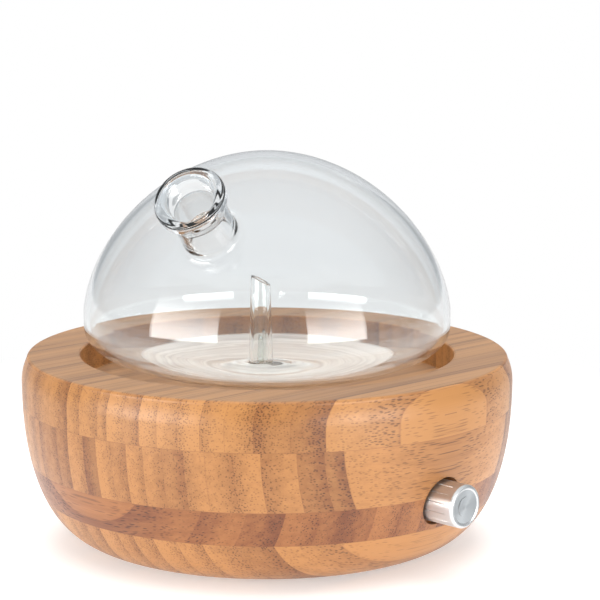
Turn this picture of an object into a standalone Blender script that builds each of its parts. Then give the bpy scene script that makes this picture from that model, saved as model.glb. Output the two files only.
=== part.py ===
"""Nebulising essential oil diffuser: a turned bamboo base with an air pump inside, and a
blown glass reservoir whose stem plugs into the top of the base.

Metres, +Z up. The origin is the centre of the base's flat underside. The control knob
faces -Y, the power jack faces +Y, and the boards' grain runs along X.
"""

from math import atan2, cos, pi, radians, sin, sqrt, tan

import bmesh
import bpy
from mathutils import Vector

GAP = 0.0003  # clearance between neighbouring pieces
WELD = 1e-6  # points nearer than this are one point
OVERSHOOT = 0.002  # how far a cutter runs past the face it leaves by

# Sides of a round piece, by its size
LARGE = 44
GLASS_SIDES = 36
MEDIUM = 24
SMALL = 16
TINY = 10

# Turned base
BASE_R = 0.085  # largest radius
BASE_WIDEST_Z = 0.0561
BASE_TOP_Z = 0.0647
BASE_TOP_R = 0.0825  # where side and top would meet without their rounded edge
BASE_FLAT_R = 0.0544  # flat underside
BASE_CURVE = (2.407, 2.323)  # superellipse powers of the side, across and up
RIM_ROUNDING = 0.0014
RECESS_R = 0.0647
RECESS_FLOOR_Z = 0.0539
RECESS_EDGE = 0.0008
CAVITY_R = 0.060
CAVITY_BOTTOM_Z = 0.0166
CAVITY_TOP_Z = 0.046
MOUTH_R = 0.042  # way into the cavity from below

# Bottom cover, let into the underside
COVER_R = 0.0497
COVER_THICK = 0.003
SCREW_CIRCLE_R = 0.046
SCREW_START = pi / 8  # turn of the ring of screws
SCREW_HEAD_R = 0.0023
SCREW_HEAD_THICK = 0.0011
SCREW_SHANK_R = 0.0012
SCREW_LENGTH = 0.0092
FOOT_CIRCLE_R = 0.0355
FOOT_R = 0.006
FOOT_PROUD = 0.0015
FOOT_LET_IN = 0.0012
POST_R = 0.0022  # posts that the control board stands on
POST_ROOT = 0.0008
SLOT_COUNT = 5  # air slots, in a row behind the pump
SLOT_PITCH = 0.006
SLOT_SIZE = (0.0022, 0.007)
SLOT_Y = 0.0365

# Glass reservoir, heights from the base's underside
GLASS_R = 0.0634
GLASS_WIDEST_Z = BASE_TOP_Z + 0.01385
GLASS_TOP_Z = BASE_TOP_Z + 0.0695
GLASS_WALL = 0.0019
GLASS_UPPER_CURVE = (1.942, 1.725)
GLASS_LOWER_CURVE = (0.655, 3.8)
GLASS_FOOT_R = 0.020  # ring that it stands on
GLASS_FOOT_Z = RECESS_FLOOR_Z + GAP
GLASS_FLOOR_Z = BASE_TOP_Z - 0.0059  # inner floor at the centre
GLASS_FLOOR_THICK = 0.0028
GLASS_HOLE_R = 0.0053

# Spout, on an axis that leaves the dome at SPOUT_FOOT
SPOUT_TURN = radians(-66)  # 0 is -Y, positive towards +X
SPOUT_RISE = radians(38.9)
SPOUT_FOOT_R = 0.0484
SPOUT_FOOT_Z = BASE_TOP_Z + 0.0469
SPOUT_LENGTH = 0.0228
SPOUT_NECK_R = 0.0092
SPOUT_LIP_R = 0.0119
SPOUT_LIP_ROLL = 0.0021
SPOUT_BORE_R = 0.0073
SPOUT_ROOT = 0.008  # how far the spout's solid reaches back into the dome

# Glass tubes at the centre of the reservoir
STEM_R = 0.005
STEM_BOTTOM_Z = 0.040
STEM_BORE_R = 0.0032
JET_R = 0.0013
JET_BORE_R = 0.0007
JET_TIP_Z = GLASS_FLOOR_Z + 0.0115
JET_HOLE_R = 0.0003
CHIMNEY_FOOT_R = 0.0043
CHIMNEY_TOP_R = 0.0033
CHIMNEY_FOOT_WALL = 0.0012
CHIMNEY_TOP_WALL = 0.0009
CHIMNEY_TALL = 0.0322
CHIMNEY_SLANT = radians(27)
CHIMNEY_SLANT_TURN = radians(-44)  # way that the mouth falls, from +X
TUBES_OFF_AXIS = 0.0022  # jet, feed tube and chimney stand this far off, away from the fall
FEED_R = 0.0005
FEED_WALL = 0.0002
FEED_FROM_JET = 0.0021

# Air socket in the deck
SOCKET_R = 0.008
SOCKET_FLANGE_R = 0.013
SOCKET_FLANGE_THICK = 0.0017
SOCKET_BORE_R = 0.0072
SOCKET_BOTTOM_Z = 0.0375
BARB_R = 0.002
BARB_HOLE_R = 0.001
BARB_BOTTOM_Z = 0.0305
RING_R = 0.0059  # O-ring on the stem
RING_THICK = 0.0016
RING_Z = 0.0475

# Control knob and potentiometer, distances out from the axis of the base
KNOB_Z = 0.0264
KNOB_R = 0.0072
KNOB_FACE_Y = 0.0922
KNOB_BACK_Y = 0.0772
KNOB_CHAMFER = 0.0007
KNOB_NUT_ROOM_R = 0.0063
KNOB_NUT_ROOM_DEEP = 0.003
KNOB_WELL_R = 0.0083
KNOB_WELL_FLOOR_Y = 0.0765
KNOB_WEB_BACK_Y = 0.070
GRUB_Y = 0.0845
GRUB_R = 0.0013
POT_SHAFT_R = 0.003
POT_SHAFT_END_Y = 0.0900
POT_CASE_R = 0.0082
POT_CASE_BACK_Y = 0.0607
POT_BUSHING_R = 0.0035
POT_BUSHING_END_Y = 0.0797
POT_ROOM_R = 0.0092
POT_NUT_R = 0.0058
POT_NUT_THICK = 0.002
POT_WASHER_THICK = 0.0005
SHAFT_PLAY = 0.00008

# Power jack, distances out from the axis of the base
JACK_Z = 0.024
JACK_WELL_R = 0.0070
JACK_WELL_FLOOR_Y = 0.072
JACK_WEB_BACK_Y = 0.064
JACK_FLANGE_R = 0.0056
JACK_FLANGE_THICK = 0.002
JACK_BARREL_R = 0.004
JACK_BACK_Y = 0.054
JACK_MOUTH_R = 0.00275
JACK_MOUTH_DEEP = 0.0095
JACK_PIN_R = 0.00105
JACK_NUT_R = 0.0064
JACK_NUT_THICK = 0.002
JACK_NUT_ROOM_R = 0.0085

# Air pump: the motor's axis runs along X through (PUMP_Y, PUMP_Z)
PUMP_Y = 0.016
PUMP_Z = 0.019
MOTOR_R = 0.012
MOTOR_WALL = 0.0008
MOTOR_X = -0.007  # middle of the motor's can
MOTOR_HALF = 0.0155
MOTOR_SHAFT_R = 0.001
MOTOR_CORE_R = 0.0072
MAGNET_INNER_R = 0.0079
MAGNET_ARC = radians(130)
FRAME_BACK_X = MOTOR_X + MOTOR_HALF + GAP
FRAME_FRONT_X = 0.0285
FRAME_HALF = 0.013
CRANK_ROOM_R = 0.010
CRANK_X = 0.019
ECCENTRIC_R = 0.0035
ECCENTRIC_THROW = 0.001
ROD_RING_R = 0.0058  # clears the eccentric wherever rod and crank stand
ROD_RING_WALL = 0.0017
ROD_THICK = 0.004
HUB_R = 0.004
DIAPHRAGM_R = 0.0090
DIAPHRAGM_THICK = 0.0008
VALVE_PLATE_THICK = 0.0025
HEAD_THICK = 0.006
NOZZLE_RISE = 0.005
NOZZLE_LENGTH = 0.008
NOZZLE_R = 0.002
NOZZLE_HOLE_R = 0.001
CRADLE_TOP_Z = 0.013
CRADLE_LONG = 0.022
STRAP_WIDE = 0.008
STRAP_THICK = 0.0009

# Hose and control board
HOSE_R = 0.0032
HOSE_WALL = 0.0009
BOARD_CENTRE = (-0.008, -0.021)
BOARD_SIZE = (0.034, 0.022, 0.0016)
BOARD_Z = 0.0065
LEAD_R = 0.0006

# Each finish: linear colour, roughness, metallic, transmission
FINISHES = {
    "bamboo": ((0.64, 0.33, 0.14), 0.55, 0.0, 0.0),
    "clear_glass": ((0.90, 0.95, 0.92), 0.03, 0.0, 1.0),
    "aluminium": ((0.76, 0.76, 0.78), 0.28, 1.0, 0.0),
    "steel": ((0.62, 0.63, 0.65), 0.35, 1.0, 0.0),
    "brass": ((0.75, 0.52, 0.20), 0.30, 1.0, 0.0),
    "copper": ((0.72, 0.34, 0.18), 0.35, 1.0, 0.0),
    "black_plastic": ((0.02, 0.02, 0.022), 0.50, 0.0, 0.0),
    "white_plastic": ((0.80, 0.79, 0.75), 0.45, 0.0, 0.0),
    "rubber": ((0.03, 0.03, 0.03), 0.85, 0.0, 0.0),
    "silicone": ((0.72, 0.74, 0.74), 0.60, 0.0, 0.0),
    "foam": ((0.09, 0.09, 0.10), 0.95, 0.0, 0.0),
    "magnet": ((0.10, 0.10, 0.11), 0.60, 0.4, 0.0),
    "board": ((0.02, 0.16, 0.07), 0.45, 0.0, 0.0),
    "red_wire": ((0.55, 0.02, 0.02), 0.50, 0.0, 0.0),
    "black_wire": ((0.015, 0.015, 0.015), 0.50, 0.0, 0.0),
    "grey_wire": ((0.30, 0.30, 0.32), 0.50, 0.0, 0.0),
}

OUT_OF_FRONT = (pi / 2, 0, 0)  # turns local +Z to -Y
OUT_OF_BACK = (-pi / 2, 0, 0)  # turns local +Z to +Y
ALONG_X = (0, pi / 2, 0)  # turns local +Z to +X
ORIGIN = (0, 0, 0)


# ---------------------------------------------------------------- helpers


def clear_scene():
    for obj in list(bpy.data.objects):
        bpy.data.objects.remove(obj, do_unlink=True)


def finish_for(name, finish):
    """A material of the piece's own, from the finish table."""
    colour, roughness, metallic, transmission = FINISHES[finish]
    material = bpy.data.materials.new(f"{name}_{finish}")
    material.use_nodes = True
    shader = material.node_tree.nodes["Principled BSDF"]
    shader.inputs["Base Color"].default_value = (*colour, 1)
    shader.inputs["Roughness"].default_value = roughness
    shader.inputs["Metallic"].default_value = metallic
    shader.inputs["Transmission Weight"].default_value = transmission
    material.diffuse_color = (*colour, 1)
    return material


def place(name, data, finish=None, at=ORIGIN, turn=ORIGIN, parent=None):
    """Puts a mesh or curve in the scene as a named piece, or as a helper if it has no finish."""
    obj = bpy.data.objects.new(name, data)
    bpy.context.scene.collection.objects.link(obj)
    obj.location = at
    obj.rotation_euler = turn
    obj.parent = parent
    if finish:
        data.materials.append(finish_for(name, finish))
    else:
        obj.hide_render = True
        obj.display_type = "WIRE"
    return obj


def pivot(name, at):
    """An empty that stands on a joint's axis and carries the pieces that move."""
    empty = bpy.data.objects.new(name, None)
    bpy.context.scene.collection.objects.link(empty)
    empty.location = at
    return empty


def mesh_from(name, bm, smooth=True):
    bmesh.ops.remove_doubles(bm, verts=bm.verts, dist=WELD)
    bmesh.ops.recalc_face_normals(bm, faces=bm.faces)
    mesh = bpy.data.meshes.new(name)
    bm.to_mesh(mesh)
    bm.free()
    if smooth:
        mesh.shade_smooth()
        mesh.set_sharp_from_angle(angle=radians(32))
    return mesh


def spun(name, outline, steps, ring=False, sweep=2 * pi):
    """Turns (radius, height) points about Z. A ring's outline closes on itself."""
    bm = bmesh.new()
    points = [bm.verts.new((radius, 0, height)) for radius, height in outline]
    edges = [bm.edges.new(pair) for pair in zip(points, points[1:])]
    if ring:
        edges.append(bm.edges.new((points[-1], points[0])))
    full = sweep > 1.999 * pi
    if not full:
        bm.faces.new(points)
    geometry = edges + points + list(bm.faces)
    bmesh.ops.spin(
        bm, geom=geometry, cent=ORIGIN, axis=(0, 0, 1), angle=sweep, steps=steps, use_merge=full
    )
    return mesh_from(name, bm)


def pulled(name, outline, depth):
    """Extrudes an (x, y) outline along Z, from -depth/2 to depth/2."""
    bm = bmesh.new()
    points = [bm.verts.new((x, y, -depth / 2)) for x, y in outline]
    face = bm.faces.new(points)
    grown = bmesh.ops.extrude_face_region(bm, geom=[face])["geom"]
    moved = [item for item in grown if isinstance(item, bmesh.types.BMVert)]
    bmesh.ops.translate(bm, verts=moved, vec=(0, 0, depth))
    return mesh_from(name, bm)


def block(name, size, edge=0.0):
    """A box about its own centre, with its edges bevelled by edge."""
    bm = bmesh.new()
    bmesh.ops.create_cube(bm, size=1.0)
    bmesh.ops.scale(bm, verts=bm.verts, vec=size)
    if edge:
        bmesh.ops.bevel(bm, geom=bm.edges, offset=edge, segments=1, affect="EDGES")
    return mesh_from(name, bm, smooth=False)


def disc(radius, low, high, edge=0.0):
    """The outline of a plain disc, its corners cut by edge."""
    if not edge:
        return [(0, low), (radius, low), (radius, high), (0, high)]
    inner = radius - edge
    return [(0, low), (inner, low), (radius, low + edge), (radius, high - edge), (inner, high), (0, high)]


def tube(inner, outer, low, high, edge=0.0):
    """The closed outline of a plain ring, its outer corners cut by edge."""
    if not edge:
        return [(inner, low), (outer, low), (outer, high), (inner, high)]
    cut_r = outer - edge
    side = [(cut_r, low), (outer, low + edge), (outer, high - edge), (cut_r, high)]
    return [(inner, low), *side, (inner, high)]


def arc(centre, radius, start, stop, steps):
    """Points on a circle from angle start to angle stop, both ends included."""
    angles = [start + (stop - start) * i / steps for i in range(steps + 1)]
    return [(centre[0] + radius * cos(a), centre[1] + radius * sin(a)) for a in angles]


def hexagon(across_corners, hole, thick):
    """A hexagonal nut: six flats outside, a round hole inside."""
    bm = bmesh.new()
    outer = [bm.verts.new((*point, 0)) for point in arc(ORIGIN, across_corners, 0, 5 / 3 * pi, 5)]
    hole_end = 2 * pi * (1 - 1 / SMALL)
    inner = [bm.verts.new((*point, 0)) for point in arc(ORIGIN, hole, 0, hole_end, SMALL - 1)]
    rings = []
    for loop in (outer, inner):
        rings += [bm.edges.new(pair) for pair in zip(loop, loop[1:] + loop[:1])]
    bmesh.ops.triangle_fill(bm, edges=rings, use_beauty=True)
    grown = bmesh.ops.extrude_face_region(bm, geom=list(bm.faces))["geom"]
    moved = [item for item in grown if isinstance(item, bmesh.types.BMVert)]
    bmesh.ops.translate(bm, verts=moved, vec=(0, 0, thick))
    return mesh_from("hexagon", bm)


def join_by(target, helper, operation):
    """A Boolean of target with helper, which must already be in the scene."""
    modifier = target.modifiers.new(name=f"{operation.lower()}_{helper.name}", type="BOOLEAN")
    modifier.operation = operation
    modifier.solver = "EXACT"
    modifier.object = helper
    return helper


def round_path(name, points, radius, wall=0.0, steps=6, sides=2):
    """A smooth round line through points: a solid lead, or a hose if it has a wall."""
    curve = bpy.data.curves.new(name, "CURVE")
    curve.dimensions = "3D"
    curve.bevel_depth = radius
    curve.bevel_resolution = sides
    curve.resolution_u = steps
    curve.use_fill_caps = not wall
    spline = curve.splines.new("BEZIER")
    spline.bezier_points.add(len(points) - 1)
    for knot, point in zip(spline.bezier_points, points):
        knot.co = point
        knot.handle_left_type = "AUTO"
        knot.handle_right_type = "AUTO"
    return curve


def wall_of(obj, thickness):
    """Turns an open skin into a wall that grows inwards."""
    modifier = obj.modifiers.new(name="wall", type="SOLIDIFY")
    modifier.thickness = thickness
    modifier.offset = -1
    modifier.use_even_offset = True


def around(count, radius, start=0.0):
    """Places spaced evenly on a circle, each with its angle."""
    angles = [start + 2 * pi * i / count for i in range(count)]
    return [(radius * cos(a), radius * sin(a), a) for a in angles]


# ---------------------------------------------------------------- base


def base_side():
    """The side of the base from its flat underside up to the rim's inner edge."""
    across, up = BASE_CURVE
    side = []
    for i in range(9):
        angle = pi / 2 * (1 - i / 8)
        radius = BASE_FLAT_R + (BASE_R - BASE_FLAT_R) * max(cos(angle), 0) ** (2 / across)
        side.append((radius, BASE_WIDEST_Z * (1 - sin(angle) ** (2 / up))))
    above = BASE_TOP_Z - BASE_WIDEST_Z
    round_low = BASE_TOP_Z - RIM_ROUNDING
    for i in range(1, 3):
        height = BASE_WIDEST_Z + (round_low - BASE_WIDEST_Z) * i / 2
        side.append((BASE_R - (BASE_R - BASE_TOP_R) * ((height - BASE_WIDEST_Z) / above) ** 2, height))
    centre = (side[-1][0] - RIM_ROUNDING, round_low)
    return side + arc(centre, RIM_ROUNDING, 0, pi / 2, 3)[1:]


def base_outline():
    deck_hole_r = SOCKET_R + GAP
    flange_room_r = SOCKET_FLANGE_R + GAP
    flange_room_z = RECESS_FLOOR_Z - SOCKET_FLANGE_THICK - GAP
    cover_room_r = COVER_R + GAP
    cover_room_z = COVER_THICK + GAP
    return [
        (cover_room_r, 0),
        *base_side(),
        (RECESS_R + RECESS_EDGE, BASE_TOP_Z),
        (RECESS_R, BASE_TOP_Z - RECESS_EDGE),
        (RECESS_R, RECESS_FLOOR_Z),
        (flange_room_r, RECESS_FLOOR_Z),
        (flange_room_r, flange_room_z),
        (deck_hole_r, flange_room_z),
        (deck_hole_r, CAVITY_TOP_Z),
        (CAVITY_R, CAVITY_TOP_Z),
        (CAVITY_R, CAVITY_BOTTOM_Z),
        (MOUTH_R, CAVITY_BOTTOM_Z),
        (MOUTH_R, cover_room_z),
        (cover_room_r, cover_room_z),
    ]


def knob_well():
    """Cutter for the knob's well, the potentiometer's bushing and its room in the wall."""
    bushing_hole = POT_BUSHING_R + GAP
    inner_end = CAVITY_R - 2 * OVERSHOOT
    outline = [
        (0, inner_end),
        (POT_ROOM_R, inner_end),
        (POT_ROOM_R, KNOB_WEB_BACK_Y),
        (bushing_hole, KNOB_WEB_BACK_Y),
        (bushing_hole, KNOB_WELL_FLOOR_Y),
        (KNOB_WELL_R, KNOB_WELL_FLOOR_Y),
        (KNOB_WELL_R, BASE_R + OVERSHOOT),
        (0, BASE_R + OVERSHOOT),
    ]
    return place("knob_well", spun("knob_well", outline, MEDIUM), at=(0, 0, KNOB_Z), turn=OUT_OF_FRONT)


def jack_well():
    """Cutter for the jack's well, its barrel and the room for its nut."""
    barrel_hole = JACK_BARREL_R + GAP
    inner_end = CAVITY_R - 2 * OVERSHOOT
    outline = [
        (0, inner_end),
        (JACK_NUT_ROOM_R, inner_end),
        (JACK_NUT_ROOM_R, JACK_WEB_BACK_Y),
        (barrel_hole, JACK_WEB_BACK_Y),
        (barrel_hole, JACK_WELL_FLOOR_Y),
        (JACK_WELL_R, JACK_WELL_FLOOR_Y),
        (JACK_WELL_R, BASE_R + OVERSHOOT),
        (0, BASE_R + OVERSHOOT),
    ]
    return place("jack_well", spun("jack_well", outline, MEDIUM), at=(0, 0, JACK_Z), turn=OUT_OF_BACK)


def make_base():
    base = place("base_housing", spun("base_housing", base_outline(), LARGE, ring=True), "bamboo")
    join_by(base, knob_well(), "DIFFERENCE")
    join_by(base, jack_well(), "DIFFERENCE")
    pilot_r = SCREW_SHANK_R + GAP
    pilot = spun("pilot_hole", disc(pilot_r, COVER_THICK - OVERSHOOT, SCREW_LENGTH + 2 * GAP), TINY)
    for i, (x, y, _) in enumerate(around(4, SCREW_CIRCLE_R, SCREW_START)):
        join_by(base, place(f"pilot_hole_{i + 1}", pilot, at=(x, y, 0)), "DIFFERENCE")


# ---------------------------------------------------------------- bottom cover


def make_cover():
    outline = disc(COVER_R, 0, COVER_THICK, edge=0.0004)
    cover = place("bottom_cover", spun("bottom_cover", outline, LARGE), "black_plastic")
    head_room = SCREW_HEAD_R + GAP
    shank_room = SCREW_SHANK_R + GAP
    step_z = SCREW_HEAD_THICK + 2 * GAP
    hole = spun(
        "cover_hole",
        [
            (0, -OVERSHOOT),
            (head_room, -OVERSHOOT),
            (head_room, step_z),
            (shank_room, step_z),
            (shank_room, COVER_THICK + OVERSHOOT),
            (0, COVER_THICK + OVERSHOOT),
        ],
        TINY,
    )
    seat = spun("foot_seat", disc(FOOT_R + GAP, -OVERSHOOT, FOOT_LET_IN + GAP), SMALL)
    slot = block("air_slot", (*SLOT_SIZE, COVER_THICK + 2 * OVERSHOOT))
    post = spun("board_post", disc(POST_R, COVER_THICK - POST_ROOT, BOARD_Z - GAP), TINY)
    for i, (x, y, _) in enumerate(around(4, SCREW_CIRCLE_R, SCREW_START)):
        join_by(cover, place(f"cover_hole_{i + 1}", hole, at=(x, y, 0)), "DIFFERENCE")
    for i, (x, y, _) in enumerate(around(4, FOOT_CIRCLE_R, pi / 4)):
        join_by(cover, place(f"foot_seat_{i + 1}", seat, at=(x, y, 0)), "DIFFERENCE")
    for i in range(SLOT_COUNT):
        slot_at = ((i - (SLOT_COUNT - 1) / 2) * SLOT_PITCH, SLOT_Y, COVER_THICK / 2)
        join_by(cover, place(f"air_slot_{i + 1}", slot, at=slot_at), "DIFFERENCE")
    centre_x, centre_y = BOARD_CENTRE
    for i, (side_x, side_y) in enumerate([(-1, -1), (1, -1), (1, 1), (-1, 1)]):
        post_at = (centre_x + side_x * 0.0135, centre_y + side_y * 0.0085, 0)
        join_by(cover, place(f"board_post_{i + 1}", post, at=post_at), "UNION")


def make_screws_and_feet():
    drive_r = 0.45 * SCREW_HEAD_R
    drive_deep = 0.7 * SCREW_HEAD_THICK
    screw_outline = [
        (0, GAP + drive_deep),
        (drive_r, GAP + drive_deep),
        (drive_r, GAP),
        (SCREW_HEAD_R, GAP),
        (SCREW_HEAD_R, GAP + SCREW_HEAD_THICK),
        (SCREW_SHANK_R, GAP + SCREW_HEAD_THICK),
        (SCREW_SHANK_R, SCREW_LENGTH - 0.001),
        (0, SCREW_LENGTH),
    ]
    for i, (x, y, _) in enumerate(around(4, SCREW_CIRCLE_R, SCREW_START)):
        name = f"cover_screw_{i + 1}"
        place(name, spun(name, screw_outline, TINY), "steel", at=(x, y, 0))
    foot_outline = disc(FOOT_R, -FOOT_PROUD, FOOT_LET_IN, edge=0.0004)
    for i, (x, y, _) in enumerate(around(4, FOOT_CIRCLE_R, pi / 4)):
        name = f"rubber_foot_{i + 1}"
        place(name, spun(name, foot_outline, SMALL), "rubber", at=(x, y, 0))


# ---------------------------------------------------------------- glass


def dome(wall, steps):
    """The reservoir's upper half from its top down to its widest ring, moved in by wall."""
    across, up = GLASS_UPPER_CURVE
    radius = GLASS_R - wall
    rise = GLASS_TOP_Z - GLASS_WIDEST_Z - wall
    angles = [pi / 2 * i / steps for i in range(steps + 1)]
    return [
        (radius * sin(a) ** (2 / across), GLASS_WIDEST_Z + rise * max(cos(a), 0) ** (2 / up))
        for a in angles
    ]


def bowl(wall, steps):
    """The reservoir's lower half from its widest ring down to the ring that it stands on."""
    across, down = GLASS_LOWER_CURVE
    reach = GLASS_R - wall - GLASS_FOOT_R
    drop = GLASS_WIDEST_Z - GLASS_FOOT_Z - wall
    depths = [sin(pi / 2 * i / steps) for i in range(1, steps + 1)]
    return [
        (GLASS_FOOT_R + reach * (1 - d**down) ** (1 / across), GLASS_WIDEST_Z - drop * d)
        for d in depths
    ]


def glass_outline(wall, floor_z):
    """Dome, bowl and kicked-up floor, closed across the centre."""
    foot_z = GLASS_FOOT_Z + wall
    kick = [
        (0.6 * GLASS_FOOT_R + 0.002, foot_z + 0.72 * (floor_z - foot_z)),
        (0.5 * GLASS_FOOT_R, floor_z),
        (0, floor_z),
    ]
    return dome(wall, 8) + bowl(wall, 7) + kick


def spout_turn():
    """Turns local +Z to the spout's axis."""
    return (0, pi / 2 - SPOUT_RISE, atan2(-cos(SPOUT_TURN), sin(SPOUT_TURN)))


def spout_place():
    return (SPOUT_FOOT_R * sin(SPOUT_TURN), -SPOUT_FOOT_R * cos(SPOUT_TURN), SPOUT_FOOT_Z)


def spout_skin():
    """The outside of the spout: flared foot, neck and rolled lip."""
    lip_centre = (SPOUT_LIP_R - SPOUT_LIP_ROLL, SPOUT_LENGTH - SPOUT_LIP_ROLL)
    return [
        (0, -SPOUT_ROOT),
        (SPOUT_NECK_R + 0.0004, -SPOUT_ROOT),
        (SPOUT_NECK_R + 0.0020, 0.0005),
        (SPOUT_NECK_R + 0.0007, 0.0040),
        (SPOUT_NECK_R, 0.0085),
        (SPOUT_NECK_R + 0.0004, 0.0135),
        (SPOUT_NECK_R + 0.0013, 0.0170),
        *arc(lip_centre, SPOUT_LIP_ROLL, -pi / 4, pi / 2, 3),
        (0, SPOUT_LENGTH),
    ]


def spout_bore():
    """The inside of the spout, from the dome's hollow out through the mouth."""
    mouth_r = SPOUT_LIP_R - 2 * SPOUT_LIP_ROLL + 0.0004
    return [
        (0, -SPOUT_ROOT),
        (SPOUT_BORE_R, -SPOUT_ROOT),
        (SPOUT_BORE_R, 0.0140),
        (mouth_r, SPOUT_LENGTH - SPOUT_LIP_ROLL),
        (mouth_r + 0.0010, SPOUT_LENGTH + GAP),
        (mouth_r + 0.0010, SPOUT_LENGTH + OVERSHOOT),
        (0, SPOUT_LENGTH + OVERSHOOT),
    ]


def make_reservoir(carrier, carrier_z):
    down = Vector((0, 0, -carrier_z))
    skin = glass_outline(0, GLASS_FLOOR_Z - GLASS_FLOOR_THICK)
    hollow = glass_outline(GLASS_WALL, GLASS_FLOOR_Z)
    glass_mesh = spun("glass_reservoir", skin, GLASS_SIDES)
    reservoir = place("glass_reservoir", glass_mesh, "clear_glass", at=down, parent=carrier)
    spout_at = Vector(spout_place()) + down
    hollow_mesh = spun("glass_hollow", hollow, GLASS_SIDES)
    hollow_cutter = place("glass_hollow", hollow_mesh, at=down, parent=carrier)
    for name, outline, target, operation in (
        ("spout_skin", spout_skin(), reservoir, "UNION"),
        ("spout_bore", spout_bore(), hollow_cutter, "UNION"),
    ):
        mesh = spun(name, outline, MEDIUM)
        helper = place(name, mesh, at=spout_at, turn=spout_turn(), parent=carrier)
        join_by(target, helper, operation)
    join_by(reservoir, hollow_cutter, "DIFFERENCE")
    drill = disc(GLASS_HOLE_R, GLASS_FOOT_Z, GLASS_FLOOR_Z + OVERSHOOT)
    hole = place("stem_hole", spun("stem_hole", drill, SMALL), at=down, parent=carrier)
    join_by(reservoir, hole, "DIFFERENCE")


def tubes_aside():
    """How far the tubes in the reservoir stand off the stem's axis."""
    return -TUBES_OFF_AXIS * Vector((cos(CHIMNEY_SLANT_TURN), sin(CHIMNEY_SLANT_TURN), 0))


def make_glass_tubes(carrier, carrier_z):
    down = Vector((0, 0, -carrier_z))
    shoulder_z = GLASS_FLOOR_Z - GAP
    neck_z = JET_TIP_Z - 0.002
    stem = [
        (STEM_BORE_R, STEM_BOTTOM_Z),
        (STEM_R - 0.0004, STEM_BOTTOM_Z),
        (STEM_R, STEM_BOTTOM_Z + 0.003),
        (STEM_R, shoulder_z - 0.0005),
        (STEM_R - 0.0005, shoulder_z),
        (JET_R, shoulder_z + 0.0003),
        (JET_R, neck_z),
        (JET_HOLE_R + 0.0003, JET_TIP_Z),
        (JET_HOLE_R, JET_TIP_Z),
        (JET_BORE_R, neck_z),
        (JET_BORE_R, shoulder_z - 0.0025),
        (STEM_BORE_R, shoulder_z - 0.0045),
    ]
    stem_mesh = spun("air_stem", stem, SMALL, ring=True)
    aside = tubes_aside()
    for vert in stem_mesh.vertices:
        if vert.co.xy.length < JET_R + GAP:
            vert.co += aside
    place("air_stem", stem_mesh, "clear_glass", at=down, parent=carrier)

    foot_z = GLASS_FLOOR_Z + GAP
    top_z = foot_z + CHIMNEY_TALL
    chimney = [
        (CHIMNEY_FOOT_R - CHIMNEY_FOOT_WALL, foot_z),
        (CHIMNEY_FOOT_R, foot_z),
        (CHIMNEY_TOP_R, top_z),
        (CHIMNEY_TOP_R - CHIMNEY_TOP_WALL, top_z),
    ]
    chimney_mesh = spun("glass_chimney", chimney, MEDIUM, ring=True)
    tube_obj = place("glass_chimney", chimney_mesh, "clear_glass", at=down + aside, parent=carrier)
    # The blade's lower face passes through the rim's high side
    blade_size = 4 * CHIMNEY_FOOT_R
    blade_rise = blade_size / 2 / cos(CHIMNEY_SLANT) - CHIMNEY_TOP_R * tan(CHIMNEY_SLANT)
    blade = place(
        "slant_cut",
        block("slant_cut", (blade_size, blade_size, blade_size)),
        at=down + aside + Vector((0, 0, top_z + blade_rise)),
        turn=(0, CHIMNEY_SLANT, CHIMNEY_SLANT_TURN),
        parent=carrier,
    )
    join_by(tube_obj, blade, "DIFFERENCE")

    feed_low = GLASS_FLOOR_Z + 4 * GAP
    feed_points = [
        (FEED_FROM_JET, 0, feed_low),
        (FEED_FROM_JET, 0, feed_low + 0.006),
        (FEED_FROM_JET - 0.0001, 0, JET_TIP_Z - 0.001),
        (0.0011, 0, JET_TIP_Z + 0.0014),
    ]
    feed = round_path("oil_feed_tube", feed_points, FEED_R, wall=FEED_WALL, steps=3, sides=1)
    feed_obj = place("oil_feed_tube", feed, "clear_glass", at=down + aside, parent=carrier)
    wall_of(feed_obj, FEED_WALL)


def make_o_ring(carrier):
    section = arc((RING_R, 0), RING_THICK / 2, 0, 5 / 3 * pi, 5)
    place("stem_o_ring", spun("stem_o_ring", section, SMALL, ring=True), "rubber", parent=carrier)


def make_socket():
    top = RECESS_FLOOR_Z - GAP / 2
    under_flange = top - SOCKET_FLANGE_THICK
    body = [
        (SOCKET_BORE_R, top),
        (SOCKET_BORE_R, SOCKET_BOTTOM_Z + 0.0018),
        (BARB_HOLE_R, SOCKET_BOTTOM_Z + 0.0018),
        (BARB_HOLE_R, BARB_BOTTOM_Z),
        (BARB_R - 0.0004, BARB_BOTTOM_Z),
        (BARB_R, BARB_BOTTOM_Z + 0.001),
        (BARB_R, SOCKET_BOTTOM_Z),
        (SOCKET_R, SOCKET_BOTTOM_Z),
        (SOCKET_R, under_flange),
        (SOCKET_FLANGE_R, under_flange),
        (SOCKET_FLANGE_R, top - 0.0003),
        (SOCKET_FLANGE_R - 0.0003, top),
    ]
    place("air_socket", spun("air_socket", body, SMALL, ring=True), "white_plastic")
    nut_z = CAVITY_TOP_Z - GAP - 0.003
    nut = hexagon(0.0125, SOCKET_R + GAP, 0.003)
    place("socket_nut", nut, "black_plastic", at=(0, 0, nut_z))


# ---------------------------------------------------------------- knob and potentiometer


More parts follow.
